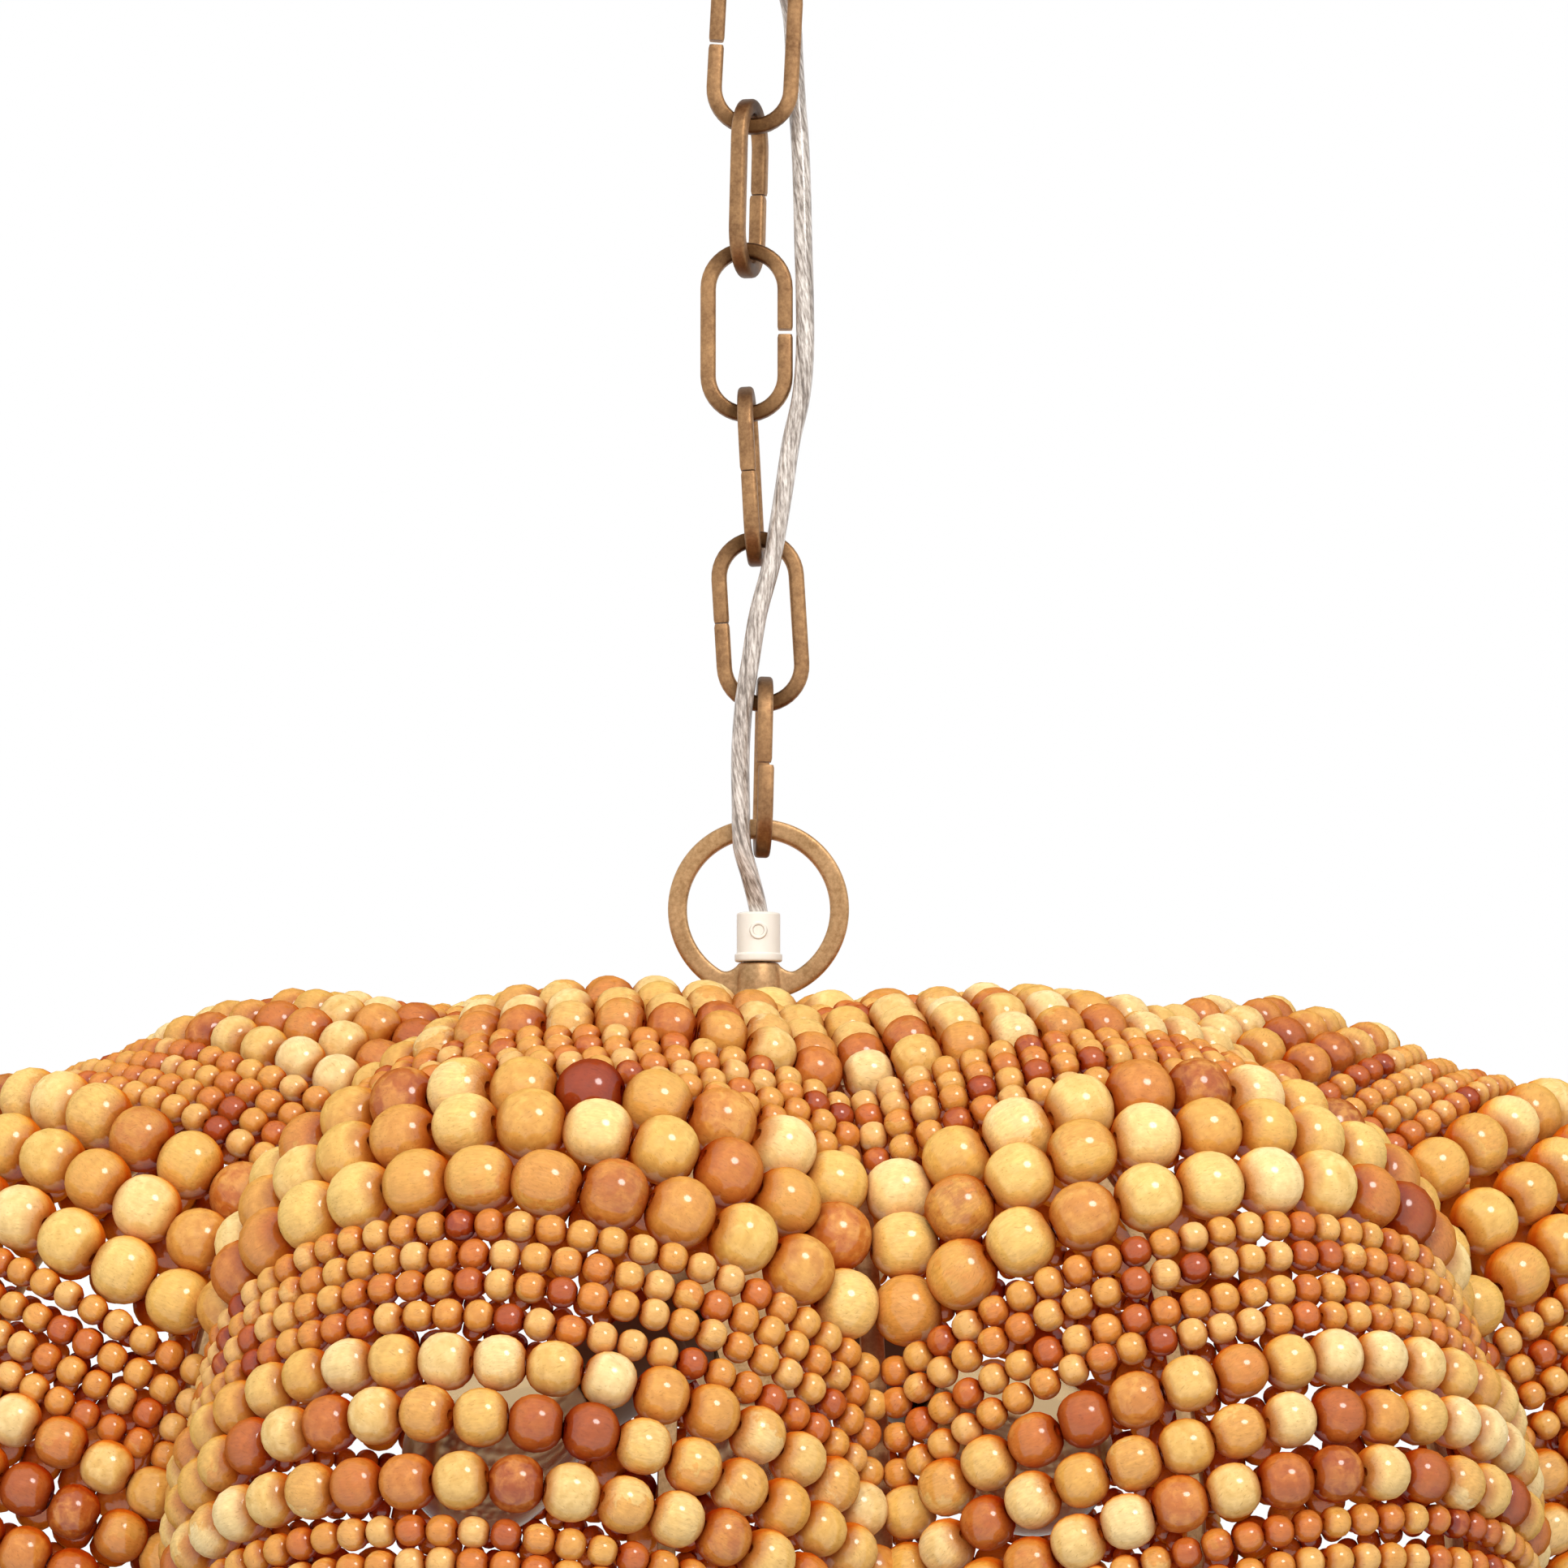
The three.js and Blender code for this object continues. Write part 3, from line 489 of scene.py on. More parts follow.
def cord_material():
    """Clear sheath over two twisted bundles of tinned strands, drawn as fine slanting streaks."""
    material, tree, shader = material_of("clear_cord")
    place = node(tree, "ShaderNodeSeparateXYZ", Vector=attribute(tree, "strand_at", "Vector")).outputs
    around = maths(tree, "ARCTAN2", place["Y"], place["X"])
    twist = scaled(tree, place["Z"], CORD_TWIST, around)
    sine = maths(tree, "SINE", twist)
    laid = node(tree, "ShaderNodeCombineXYZ", X=sine, Y=maths(tree, "COSINE", twist),
                Z=times(tree, place["Z"], CORD_TWIST)).outputs[0]
    parted = ramp(tree, maths(tree, "ABSOLUTE", sine), [(0.0, linear(176, 168, 160)), (0.2, (1, 1, 1))])
    streaks = noise(tree, laid, 4.2, 3.0, 0.6)
    clouds = noise(tree, laid, 1.3, 1.0)
    factor = scaled(tree, streaks, 0.7, times(tree, clouds, 0.3))
    core = ramp(tree, factor, [(0.38, linear(122, 110, 100)), (0.5, linear(182, 171, 162)),
                               (0.62, linear(230, 223, 216))])
    feed(tree, shader, Base_Color=multiplied(tree, core, parted), Roughness=0.3, Coat_Weight=0.8,
         Coat_Roughness=0.06, Subsurface_Weight=0.2, Subsurface_Radius=(0.002, 0.002, 0.002))
    return material


cord_plastic = cord_material()


def dress(piece, material, body, replaced):
    piece.data.materials.clear()
    piece.data.materials.append(material)
    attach(piece, body)
    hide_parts(replaced)


# Supply cord: its route in millimetres, from the grip up to the canopy loop's bore
cord_route = [
    (0.00, 0.00, -354.86), (0.00, 0.00, -346.86), (-2.46, -3.94, -336.37), (-4.60, -6.41, -328.71),
    (-5.09, -6.41, -315.93), (-5.20, -6.04, -301.02), (-4.15, -6.04, -286.11), (-2.43, -6.04, -275.03),
    (-0.12, -6.04, -260.55), (3.54, -6.04, -246.49), (5.63, -6.04, -234.99), (7.66, -5.25, -222.21),
    (9.52, -3.67, -209.43), (12.30, -2.36, -196.65), (13.46, -1.05, -183.87), (13.46, 0.53, -166.83),
    (13.02, 2.63, -149.79), (12.64, 5.25, -132.75), (12.04, 7.88, -117.84), (11.26, 10.24, -107.19),
    (10.50, 11.29, -94.41), (9.65, 11.29, -80.35), (7.59, 10.24, -70.98), (5.45, 8.14, -63.73),
    (2.64, 3.94, -56.07), (0.00, 0.00, -44.40), (0.00, 0.00, -39.60),
]
CORD_DIAMETER = 5.4
CORD_SIDES = 28
CURVE_STEPS = 40         # between two points of a curve


def smooth_route(points, step):
    """A centripetal Catmull-Rom curve through the points, in equal steps."""
    knots = [Vector(p) for p in points]
    knots = [knots[0] * 2 - knots[1]] + knots + [knots[-1] * 2 - knots[-2]]
    fine = []
    for a, b, c, d in zip(knots, knots[1:], knots[2:], knots[3:]):
        t0 = 0.0
        t1 = t0 + (b - a).length ** 0.5
        t2 = t1 + (c - b).length ** 0.5
        t3 = t2 + (d - c).length ** 0.5
        for i in range(CURVE_STEPS):
            t = t1 + (t2 - t1) * i / CURVE_STEPS
            ab = a * ((t1 - t) / (t1 - t0)) + b * ((t - t0) / (t1 - t0))
            bc = b * ((t2 - t) / (t2 - t1)) + c * ((t - t1) / (t2 - t1))
            cd = c * ((t3 - t) / (t3 - t2)) + d * ((t - t2) / (t3 - t2))
            abc = ab * ((t2 - t) / (t2 - t0)) + bc * ((t - t0) / (t2 - t0))
            bcd = bc * ((t3 - t) / (t3 - t1)) + cd * ((t - t1) / (t3 - t1))
            fine.append(abc * ((t2 - t) / (t2 - t1)) + bcd * ((t - t1) / (t2 - t1)))
    fine.append(knots[-2])
    spots = np.array([tuple(p) for p in fine])
    run = np.concatenate([[0], np.cumsum(np.linalg.norm(np.diff(spots, axis=0), axis=1))])
    wanted = np.linspace(0, run[-1], max(2, round(run[-1] / step) + 1))
    return np.stack([np.interp(wanted, run, spots[:, i]) for i in range(3)], axis=1)


# The wires that the chain's joints turn on, from the top: place across and height, mm
wire_places = [(0, -73.35), (-2.429, -115.889), (-3.538, -158.476), (-3.538, -201.076),
               (-0.950, -243.607), (1.954, -286.119), (0.845, -328.707)]


def make_cord():
    """The cord in one run for each joint, from the canopy down to the grip."""
    centres = smooth_route(cord_route[::-1], 1.0)
    tangents = np.gradient(centres, axis=0)
    tangents /= np.linalg.norm(tangents, axis=1)[:, None]
    side = AXIS_X
    sides = []
    for tangent in tangents:
        along = Vector(tangent)
        side = (side - along * side.dot(along)).normalized()
        sides.append(side.copy())
    cuts = [0]
    for (_, above), (_, below) in zip(wire_places, wire_places[1:]):
        middle = (above + below) / 2
        cuts.append(int(np.argmin(np.abs(centres[:, 2] - middle))))
    cuts.append(len(centres) - 1)
    for index, (start, end) in enumerate(zip(cuts, cuts[1:])):
        rings = []
        marks = []
        for i in range(start, end + 1):
            across = Vector(tangents[i]).cross(sides[i])
            ring = []
            for k in range(CORD_SIDES):
                angle = tau * k / CORD_SIDES
                out = sides[i] * cos(angle) + across * sin(angle)
                ring.append((Vector(centres[i]) + out * (CORD_DIAMETER / 2)) * MM)
                marks.append((cos(angle), sin(angle), i))
            rings.append(ring)
        piece = object_of(f"cord_run_{index + 1}", skin(rings), 60)
        mark_points(piece.data, "strand_at", marks)
        piece.data.materials.append(cord_plastic)
        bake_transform(piece)
        if index == 0:
            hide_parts("supply_cord")


make_cord()


# Bead rows. Their centres follow a ridge curve and a valley curve, whose points are shares of the
# shade's radius and depth.
SHADE_RADIUS = 299.0
SHADE_DEPTH = 220.0
FIRST_ROW_RADIUS = 49.0
ROW_GAP = 0.4
LOBES = 8
FIRST_VALLEY = radians(7.8 - 90.0)
RADIAL_ROUNDNESS = 0.47
HEIGHT_ROUNDNESS = 0.65
VALLEY_SHARE = 0.03      # half the width of a valley's bottom, of a lobe
ridge_shares = [
    (0.165, -0.064), (0.263, -0.054), (0.361, -0.048), (0.459, -0.045), (0.556, -0.064), (0.649, -0.107),
    (0.742, -0.151), (0.825, -0.221), (0.886, -0.326), (0.942, -0.436), (0.987, -0.554), (1.000, -0.686),
    (0.979, -0.816),
]
valley_shares = [
    (0.165, -0.064), (0.256, -0.053), (0.347, -0.067), (0.435, -0.101), (0.520, -0.149), (0.598, -0.214),
    (0.661, -0.305), (0.699, -0.418), (0.714, -0.540), (0.717, -0.665), (0.708, -0.789), (0.688, -0.910),
    (0.659, -1.029),
]
bands = [
    # name, bead, rows, space before the band and within it on a ridge, crowding in a valley
    ("cap_large_row", LARGE, 3, 0.0, 0.0, 0.93),
    ("crown_small_row", SMALL, 4, 0.0, 0.0, 0.93),
    ("crown_medium_row", MEDIUM, 4, 0.0, 0.0, 0.93),
    ("slope_small_row", SMALL, 4, 0.6, 0.6, 1.0),
    ("shoulder_large_row", LARGE, 3, 0.6, 0.0, 0.94),
    ("side_small_row", SMALL, 4, 0.5, 0.5, 0.98),
    ("side_medium_row", MEDIUM, 3, 0.0, 1.0, 0.98),
    ("skirt_small_row", SMALL, 4, 0.0, 0.0, 0.93),
    ("rim_large_row", LARGE, 1, 0.0, 0.0, 0.93),
]
PITCH_SHARE = 0.93       # from bead to bead along a row, of the diameter
ROW_SAMPLES = 6400
FIRST_STRETCH = 3000     # samples in which a row's first half pitch ends
SHADE_MIDDLE = CROWN - 150.0


def meridian(shares):
    """The place at a distance along a curve through the shares, straight on beyond its end."""
    spots = smooth_route([(r * SHADE_RADIUS, 0, z * SHADE_DEPTH) for r, z in shares], 0.25)
    ahead = spots[-1] + (spots[-1] - spots[-2]) * 100
    spots = np.vstack([spots, ahead])
    run = np.concatenate([[0], np.cumsum(np.linalg.norm(np.diff(spots, axis=0), axis=1))])
    return lambda distance: (np.interp(distance, run, spots[:, 0]), np.interp(distance, run, spots[:, 2]))


def lay_rows():
    """Each row's name, bead, ridge radius and height, valley radius and height."""
    ridge_at, valley_at = meridian(ridge_shares), meridian(valley_shares)
    laid = []
    ridge = valley = FIRST_ROW_RADIUS - ridge_shares[0][0] * SHADE_RADIUS
    before = None
    for band in bands:
        name, bead, count, lead, spread, crowd = band
        for i in range(count):
            if before:
                touch = (before[1] + bead) / 2 + ROW_GAP
                ridge += touch + (spread if before is band else lead)
                valley += touch * crowd
            laid.append((f"{name}_{i + 1}", bead, *ridge_at(ridge), *valley_at(valley)))
            before = band
    return laid


rows = lay_rows()


def row_centre(row, share):
    """Radius and height of a row's centre line at a share of a lobe, from valley to valley."""
    _, _, ridge_r, ridge_z, valley_r, valley_z = row
    nearest = np.minimum(share, 1 - share)
    rise = np.sin(np.pi * np.minimum(np.hypot(nearest, VALLEY_SHARE), 0.5))
    r = valley_r + (ridge_r - valley_r) * rise ** RADIAL_ROUNDNESS
    z = valley_z + (ridge_z - valley_z) * rise ** HEIGHT_ROUNDNESS
    return r, z


def row_path(row, samples=ROW_SAMPLES):
    """The closed line of a row's bead centres, in millimetres below the ceiling."""
    turn = np.arange(samples) / samples * LOBES
    r, z = row_centre(row, turn % 1.0)
    angle = FIRST_VALLEY + turn * (tau / LOBES)
    return np.stack([r * np.cos(angle), r * np.sin(angle), z + CROWN], axis=1)


def wavering(path, generator, reach):
    """The line with the slight unevenness of hand stringing."""
    turn = np.arange(len(path)) / len(path) * 2 * np.pi
    lift = np.zeros(len(path))
    sway = np.zeros(len(path))
    for waves in (3, 5, 8, 13, 21, 34):
        lift += generator.normal() * np.sin(waves * turn + generator.uniform(0, 6.28)) / waves ** 0.4
        sway += generator.normal() * np.sin(waves * turn + generator.uniform(0, 6.28)) / waves ** 0.4
    out = path.copy()
    flat = np.linalg.norm(path[:, :2], axis=1)
    out[:, 2] += lift * reach
    out[:, :2] *= (1 + sway * reach / flat)[:, None]
    return out


def strung(path, pitch):
    """Places on a closed line, each one pitch straight from the last, with the pitch eased to close."""
    count = len(path)

    def walk(step):
        places = [path[0]]
        here = path[0]
        index = 1
        while index < count + 1:
            ahead = path[index % count]
            if (ahead - here) @ (ahead - here) >= step * step:
                here = ahead
                places.append(here)
            index += 1
        left = dist(places[-1], path[0])
        return places, left / step

    places, left = walk(pitch)
    wanted = len(places) - (1 if left < 0.5 else 0)
    low, high = pitch * 0.96, pitch * 1.04
    for _ in range(9):
        middle = (low + high) / 2
        places, left = walk(middle)
        reached = len(places) - 1 + left
        if reached > wanted:
            low = middle
        else:
            high = middle
    return np.array(places[:wanted])


def bead_object(name, diameter, segments, stacks, length_share, boxy):
    """A turned bead, drilled along its own Z."""
    radius = diameter / 2
    half = radius * length_share
    hole = diameter * 0.085
    profile = [(0, half - radius * 0.35), (hole, half - radius * 0.3),
               (hole * 1.15, half - radius * 0.02)]
    first = acos(length_share)
    for i in range(stacks + 1):
        angle = pi / 2 - first - (pi - 2 * first) * i / stacks
        height = radius * sin(angle)
        width = radius * (1 - abs(height / radius) ** boxy) ** (1 / boxy)
        profile.append((width, height))
    profile += [(r, -z) for r, z in profile[:3][::-1]]
    shape = turned(profile, segments)
    made = object_of(name, shape, 50)
    mark_points(made.data, "grain_at", [tuple(v / MM) for v in shape[0]])
    return made


beads = {
    LARGE: bead_object("large_bead", LARGE, 18, 10, 0.94, 2.08),
    MEDIUM: bead_object("medium_bead", MEDIUM, 16, 8, 0.92, 2.14),
    SMALL: bead_object("small_bead", SMALL, 12, 8, 0.92, 2.1),
}


def bead_row_group():
    """Beads on a mesh's points, each along its point's axis, with its own size, roll and tone."""
    group = bpy.data.node_groups.new("Bead row", "GeometryNodeTree")
    for name, way, kind in (("Places", "INPUT", "Geometry"), ("Bead", "INPUT", "Object"),
                            ("Wood", "INPUT", "Material"), ("Seed", "INPUT", "Int"),
                            ("Beads", "OUTPUT", "Geometry")):
        group.interface.new_socket(name, in_out=way, socket_type="NodeSocket" + kind)
    start = node(group, "NodeGroupInput").outputs

    def chance(kind, low, high, step):
        made = node(group, "FunctionNodeRandomValue", {"data_type": kind},
                    Seed=maths(group, "ADD", start["Seed"], step))
        place = {"FLOAT_VECTOR": 0, "FLOAT": 1}[kind]
        for name, value in (("Min", low), ("Max", high)):
            fill(group, [s for s in made.inputs if s.name == name][place], value)
        return made.outputs[place]

    def marked(name):
        return node(group, "GeometryNodeInputNamedAttribute", {"data_type": "FLOAT_VECTOR"},
                    Name=name).outputs["Attribute"]

    def stored(geometry, domain, name, amount):
        made = node(group, "GeometryNodeStoreNamedAttribute", {"data_type": "FLOAT", "domain": domain},
                    Name=name, Geometry=geometry)
        fill(group, next(s for s in made.inputs if s.name == "Value" and s.type == "VALUE"), amount)
        return made.outputs["Geometry"]

    bead = node(group, "GeometryNodeObjectInfo", Object=start["Bead"]).outputs["Geometry"]
    align = node(group, "FunctionNodeAlignRotationToVector", {"axis": "Z"}, Vector=marked("row_axis"))
    roll = chance("FLOAT_VECTOR", (-0.16, -0.16, -3.14), (0.16, 0.16, 3.14), 1.0)
    tilt = node(group, "FunctionNodeEulerToRotation", Euler=roll)
    turn = node(group, "FunctionNodeRotateRotation", {"rotation_space": "LOCAL"},
                Rotation=align.outputs["Rotation"], Rotate_By=tilt.outputs["Rotation"])
    size = chance("FLOAT_VECTOR", (0.94, 0.94, 0.94), (1.03, 1.03, 1.0), 2.0)
    strung_beads = node(group, "GeometryNodeInstanceOnPoints", Points=start["Places"], Instance=bead,
                        Rotation=turn.outputs["Rotation"], Scale=size).outputs["Instances"]
    for name, step in (("bead_tone", 3.0), ("bead_tone_two", 4.0), ("bead_seed", 5.0)):
        strung_beads = stored(strung_beads, "INSTANCE", name, chance("FLOAT", 0.0, 1.0, step))
    whole = node(group, "GeometryNodeRealizeInstances", Geometry=strung_beads).outputs["Geometry"]
    # How far each point of a bead faces out of the lampshade, kept for the wood's painted shade on the
    # beads' inner sides.
    place = node(group, "GeometryNodeInputPosition").outputs["Position"]
    from_middle = vectors(group, "NORMALIZE", vectors(group, "SUBTRACT", place, marked("bead_middle")))
    outwards = vectors(group, "DOT_PRODUCT", from_middle, marked("row_out"))
    whole = stored(whole, "POINT", "outwards", outwards)
    painted = node(group, "GeometryNodeSetMaterial", Geometry=whole, Material=start["Wood"])
    node(group, "NodeGroupOutput", Beads=painted.outputs["Geometry"])
    return group


bead_rows = bead_row_group()


def make_row(row, index):
    name, bead, *_ = row
    pitch = bead * PITCH_SHARE
    generator = np.random.default_rng(100 + index)
    path = row_path(row)
    start = int(np.argmax(np.linalg.norm(path[:FIRST_STRETCH] - path[0], axis=1) > pitch / 2))
    path = wavering(np.roll(path, -start, axis=0), generator, 0.3 + bead * 0.03)
    places = strung(path, pitch)
    axes = np.roll(places, -1, axis=0) - np.roll(places, 1, axis=0)
    axes /= np.linalg.norm(axes, axis=1)[:, None]
    # Each bead's way out of the lampshade, square to the row: the mask for the wood's painted shade on
    # the beads' inner sides.
    outs = places - np.array([0, 0, SHADE_MIDDLE])
    outs -= axes * (outs * axes).sum(axis=1)[:, None]
    outs /= np.linalg.norm(outs, axis=1)[:, None]
    points = bpy.data.meshes.new(name + "_places")
    points.from_pydata([tuple(p * MM) for p in places], [], [])
    for mark, values in (("row_axis", axes), ("row_out", outs), ("bead_middle", places * MM)):
        mark_points(points, mark, values)
    source = placed(name + "_places", points)
    modifier = source.modifiers.new("beads", "NODES")
    modifier.node_group = bead_rows
    inputs = {s.name: s.identifier for s in bead_rows.interface.items_tree if s.in_out == "INPUT"}
    modifier[inputs["Bead"]] = beads[bead]
    modifier[inputs["Wood"]] = woods[bead]
    modifier[inputs["Seed"]] = 10 * index
    mesh = finished_mesh(source)
    mesh.name = name + "_beads"
    piece = placed(name + "_beads", mesh)
    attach(piece, "shade")
    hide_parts(name)


for row_index, row_facts in enumerate(rows):
    make_row(row_facts, row_index)
for template in beads.values():
    bpy.data.objects.remove(template)


# Wire frame: a flat rib under every valley, a hub and a round hoop inside the rim row
HUB_TOP = CROWN - 23.8
HUB_FOOT = CROWN - 26.8
RIB_START = (19.0, -25.3)
RIB_CLEARANCE = 2.3      # from a bead to the middle of a rib
HOOP_RADIUS = 2.0
HOOP_INSET = 12.0


def under_valleys():
    places = [RIB_START]
    spots = [(*row_centre(row, 0.0), row[1]) for row in rows]
    for i, (r, z, bead) in enumerate(spots):
        if bead == SMALL:
            continue
        before = spots[max(0, i - 1)]
        after = spots[min(len(spots) - 1, i + 1)]
        along = Vector((after[0] - before[0], after[1] - before[1])).normalized()
        drop = bead / 2 + RIB_CLEARANCE
        places.append((r + along.y * drop, z - along.x * drop))
    return places


def make_frame():
    flat = smooth_route([(r, 0, z) for r, z in under_valleys()], 6.0)
    section = soft_square(6.0, 2.8, 0.8, 2)
    hub = [(5.4, HUB_TOP), (22, HUB_TOP), (22, HUB_FOOT), (5.4, HUB_FOOT), (5.4, HUB_TOP)]
    parts = [lathe_part(hub, 48)]
    for lobe in range(LOBES):
        angle = FIRST_VALLEY + lobe * tau / LOBES
        radial = Vector((cos(angle), sin(angle), 0))
        side = Vector((-sin(angle), cos(angle), 0))
        spots = [radial * p[0] + UP * (p[2] + CROWN) for p in flat]
        rings = []
        for i, spot in enumerate(spots):
            along = (spots[min(i + 1, len(spots) - 1)] - spots[max(i - 1, 0)]).normalized()
            out = side.cross(along)
            rings.append([(spot + side * a + out * b) * MM for a, b in section])
        parts.append(skin_part(rings))
    path = row_path(rows[-1], 640)
    hoop = []
    for i, place in enumerate(path):
        along = Vector(path[(i + 1) % len(path)] - path[i - 1]).normalized()
        flat_out = Vector((place[0], place[1], 0)).normalized()
        out = (flat_out - along * flat_out.dot(along)).normalized()
        rise_way = along.cross(out)
        middle = Vector(place) - flat_out * HOOP_INSET
        ring = []
        for k in range(8):
            a = HOOP_RADIUS * cos(k * pi / 4)
            b = HOOP_RADIUS * sin(k * pi / 4)
            ring.append((middle + out * a + rise_way * b) * MM)
        hoop.append(ring)
    parts.append(skin_part(hoop, True))
    dress(object_of("frame_wires", joined(parts)), brass, "shade", "wire_frame")


make_frame()


# Chain links: square wire with rounded edges, bent to an oval and left open at one side
LINK_LENGTH = 52.8
LINK_WIDTH = 27.0
LINK_WIRE = 4.5
LINK_TOP_GAP = 1.2 + LINK_WIRE
BEND_STEPS = 20
END_PINCH = 0.9          # the section's share that is left at the two cut ends
link_facts = [
    # half turns, twist, opening, offset of the two ends
    (1, 0.04, 1.4, 0.0), (0, -0.26, 0.4, 0.3), (0, 0.0, 1.5, 0.3),
    (1, -0.06, 0.4, 0.2), (1, 0.0, 0.4, 0.2), (1, 0.05, 0.9, 0.7),
]


def make_link(index):
    half_turns, twist, opening, offset = link_facts[index]
    bow = (LINK_WIDTH - LINK_WIRE) / 2
    straight = (LINK_LENGTH - LINK_WIDTH) / 2
    line = [(bow, opening / 2), (bow, opening / 2 + 1.0)]
    outs = [(1, 0), (1, 0)]
    for end, start in ((1, 0), (-1, pi)):
        for i in range(BEND_STEPS + 1):
            angle = start + pi * i / BEND_STEPS
            outs.append((cos(angle), sin(angle)))
            line.append((bow * cos(angle), end * straight + bow * sin(angle)))
    line += [(bow, -opening / 2 - 1.0), (bow, -opening / 2)]
    outs += [(1, 0), (1, 0)]
    upper, lower = wire_places[index], wire_places[index + 1]
    top = Vector((upper[0], 0, upper[1] + LINK_TOP_GAP))
    foot = Vector((lower[0], 0, lower[1]))
    lean = -asin((foot.x - top.x) / (foot - top).length)
    turn = (index % 2) * pi / 2 + half_turns * pi + twist
    leaning = Matrix.Translation((top + foot) / 2 * MM) @ Matrix.Rotation(lean, 4, "Y")
    place = leaning @ Matrix.Rotation(turn, 4, "Z")
    section = soft_square(LINK_WIRE, LINK_WIRE, 1.15, 4)
    rings = []
    last = len(line) - 1
    for i, ((x, z), (ox, oz)) in enumerate(zip(line, outs)):
        slip = offset * (i / last - 0.5)
        pinch = END_PINCH if i in (0, last) else 1.0
        ring = []
        for a, b in section:
            spot = Vector((x + ox * a * pinch, b * pinch + slip, z + oz * a * pinch))
            ring.append(place @ (spot * MM))
        rings.append(ring)
    piece = object_of(f"link_{index + 1}_wire", skin(rings), 40)
    # How far into a bend each section lies: the mask for the chain's painted shade where the links hang
    # in each other.
    bent = [max(0.0, (abs(z) - straight) / bow) ** 1.5 for _, z in line]
    mark_points(piece.data, "contact", np.repeat(bent, len(section)), "FLOAT", "value")
    dress(piece, chain_brass, f"link_{index + 1}", f"chain_link_{index + 1}")


for link_index in range(len(link_facts)):
    make_link(link_index)


# Hanging loop: a flat-banded ring that flows into its boss
WELD_VOXEL = 0.4
WELD_ROUNDS = 6
SWELL_START = 0.54       # radians from the ring's lowest point
SWELL_EASE = 0.2


def welded(name, parts):
    """The parts as one skin with soft inner corners."""
    source = object_of(name + "_source", joined(parts))
    remesh = source.modifiers.new("weld", "REMESH")
    remesh.mode = "VOXEL"
    remesh.voxel_size = WELD_VOXEL * MM
    ease = source.modifiers.new("ease", "SMOOTH")
    ease.factor = 0.5
    ease.iterations = WELD_ROUNDS
    mesh = finished_mesh(source)
    mesh.polygons.foreach_set("use_smooth", [True] * len(mesh.polygons))
    return placed(name, mesh)


def ring_rings(height, right, through, radius, band, depth, corner, steps, swell=0.0):
    """Sections of an upright ring, whose band may swell inwards on both sides of its lowest point."""
    rings = []
    for i in range(steps):
        angle = tau * i / steps
        out = right * cos(angle) + UP * sin(angle)
        aside = acos(max(-1.0, min(1.0, -sin(angle))))
        more = swell * min(1.0, max(0.0, (SWELL_START - aside) / SWELL_EASE)) ** 2
        middle = UP * height + out * (radius - more / 2)
        section = soft_square(band + more, depth, corner, 4)
        rings.append([(middle + out * a + through * b) * MM for a, b in section])
    return rings


loop_ring = ring_rings(CROWN + 23.8, AXIS_X, AXIS_Y, 23.45, 5.5, 6.0, 0.9, 144, 4.0)
boss = [(0, CROWN + 8.3), (5.8, CROWN + 8.3), (6.2, CROWN + 7.6), (6.7, CROWN + 5.6), (7.0, CROWN + 3.0),
        (7.0, CROWN + 0.4), (7.4, CROWN - 2.2), (6.4, CROWN - 6.0), (0, CROWN - 6.0)]
dress(welded("hanging_ring", [skin_part(loop_ring, True), lathe_part(boss)]), brass, "shade",
      "hanging_loop")


# Cord grip and its screw
SCREW_RADIUS = 1.45
HALF_SLOT = 0.28


def half_disc(place):
    """Half of a slotted screw's head, on one side of the slot."""
    reach = acos(HALF_SLOT / SCREW_RADIUS)
    turns = np.linspace(-reach, reach, 13)
    outline = [(SCREW_RADIUS * cos(t), SCREW_RADIUS * sin(t)) for t in turns]
    return [[place @ (Vector((x, y, z)) * MM) for x, y in outline] for z in (-0.6, 0.15)]


def make_grip():
    foot = CROWN + 8.6
    body = rounded_profile([
        (0, foot + 8.0), (2.95, foot + 8.0), (2.95, foot + 14.3), (6.3, foot + 14.3), (6.3, foot + 2.4),
        (6.9, foot + 2.2), (6.9, foot), (0, foot),
    ], 0.8)
    eye = Matrix.Translation(Vector((0, -6.3, foot + 8.8)) * MM) @ Matrix.Rotation(pi / 2, 4, "X")
    rim = rounded_profile([(1.6, -1.0), (1.6, 0.45), (2.4, 0.55), (2.7, -1.0)], 0.3)
    parts = [lathe_part(body, 72), lathe_part(rim, 36, eye)]
    dress(object_of("grip_body", joined(parts), 30), ivory, "shade", "cord_grip")
    base = [(0, -1.0), (SCREW_RADIUS, -1.0), (SCREW_RADIUS, -0.45), (0, -0.45)]
    parts = [lathe_part(base, 28, eye)]
    for place in (eye, eye @ Matrix.Rotation(pi, 4, "Z")):
        parts.append(skin_part(half_disc(place)))
    dress(object_of("grip_screw_head", joined(parts), 30), ivory, "shade", "grip_screw")


make_grip()


# Crown fittings and lamp cluster
BORE = 5.4               # radius of the holes that the stem and the nipple pass
THREAD_RADIUS = 5.0
TUBE_BORE = 3.2


def turned_piece(name, profile, material, body, replaced, radius=0.4, segments=72,
                 place=Matrix.Identity(4)):
    shape = turned(rounded_profile(profile, radius), segments, place)
    dress(object_of(name, shape, 38), material, body, replaced)


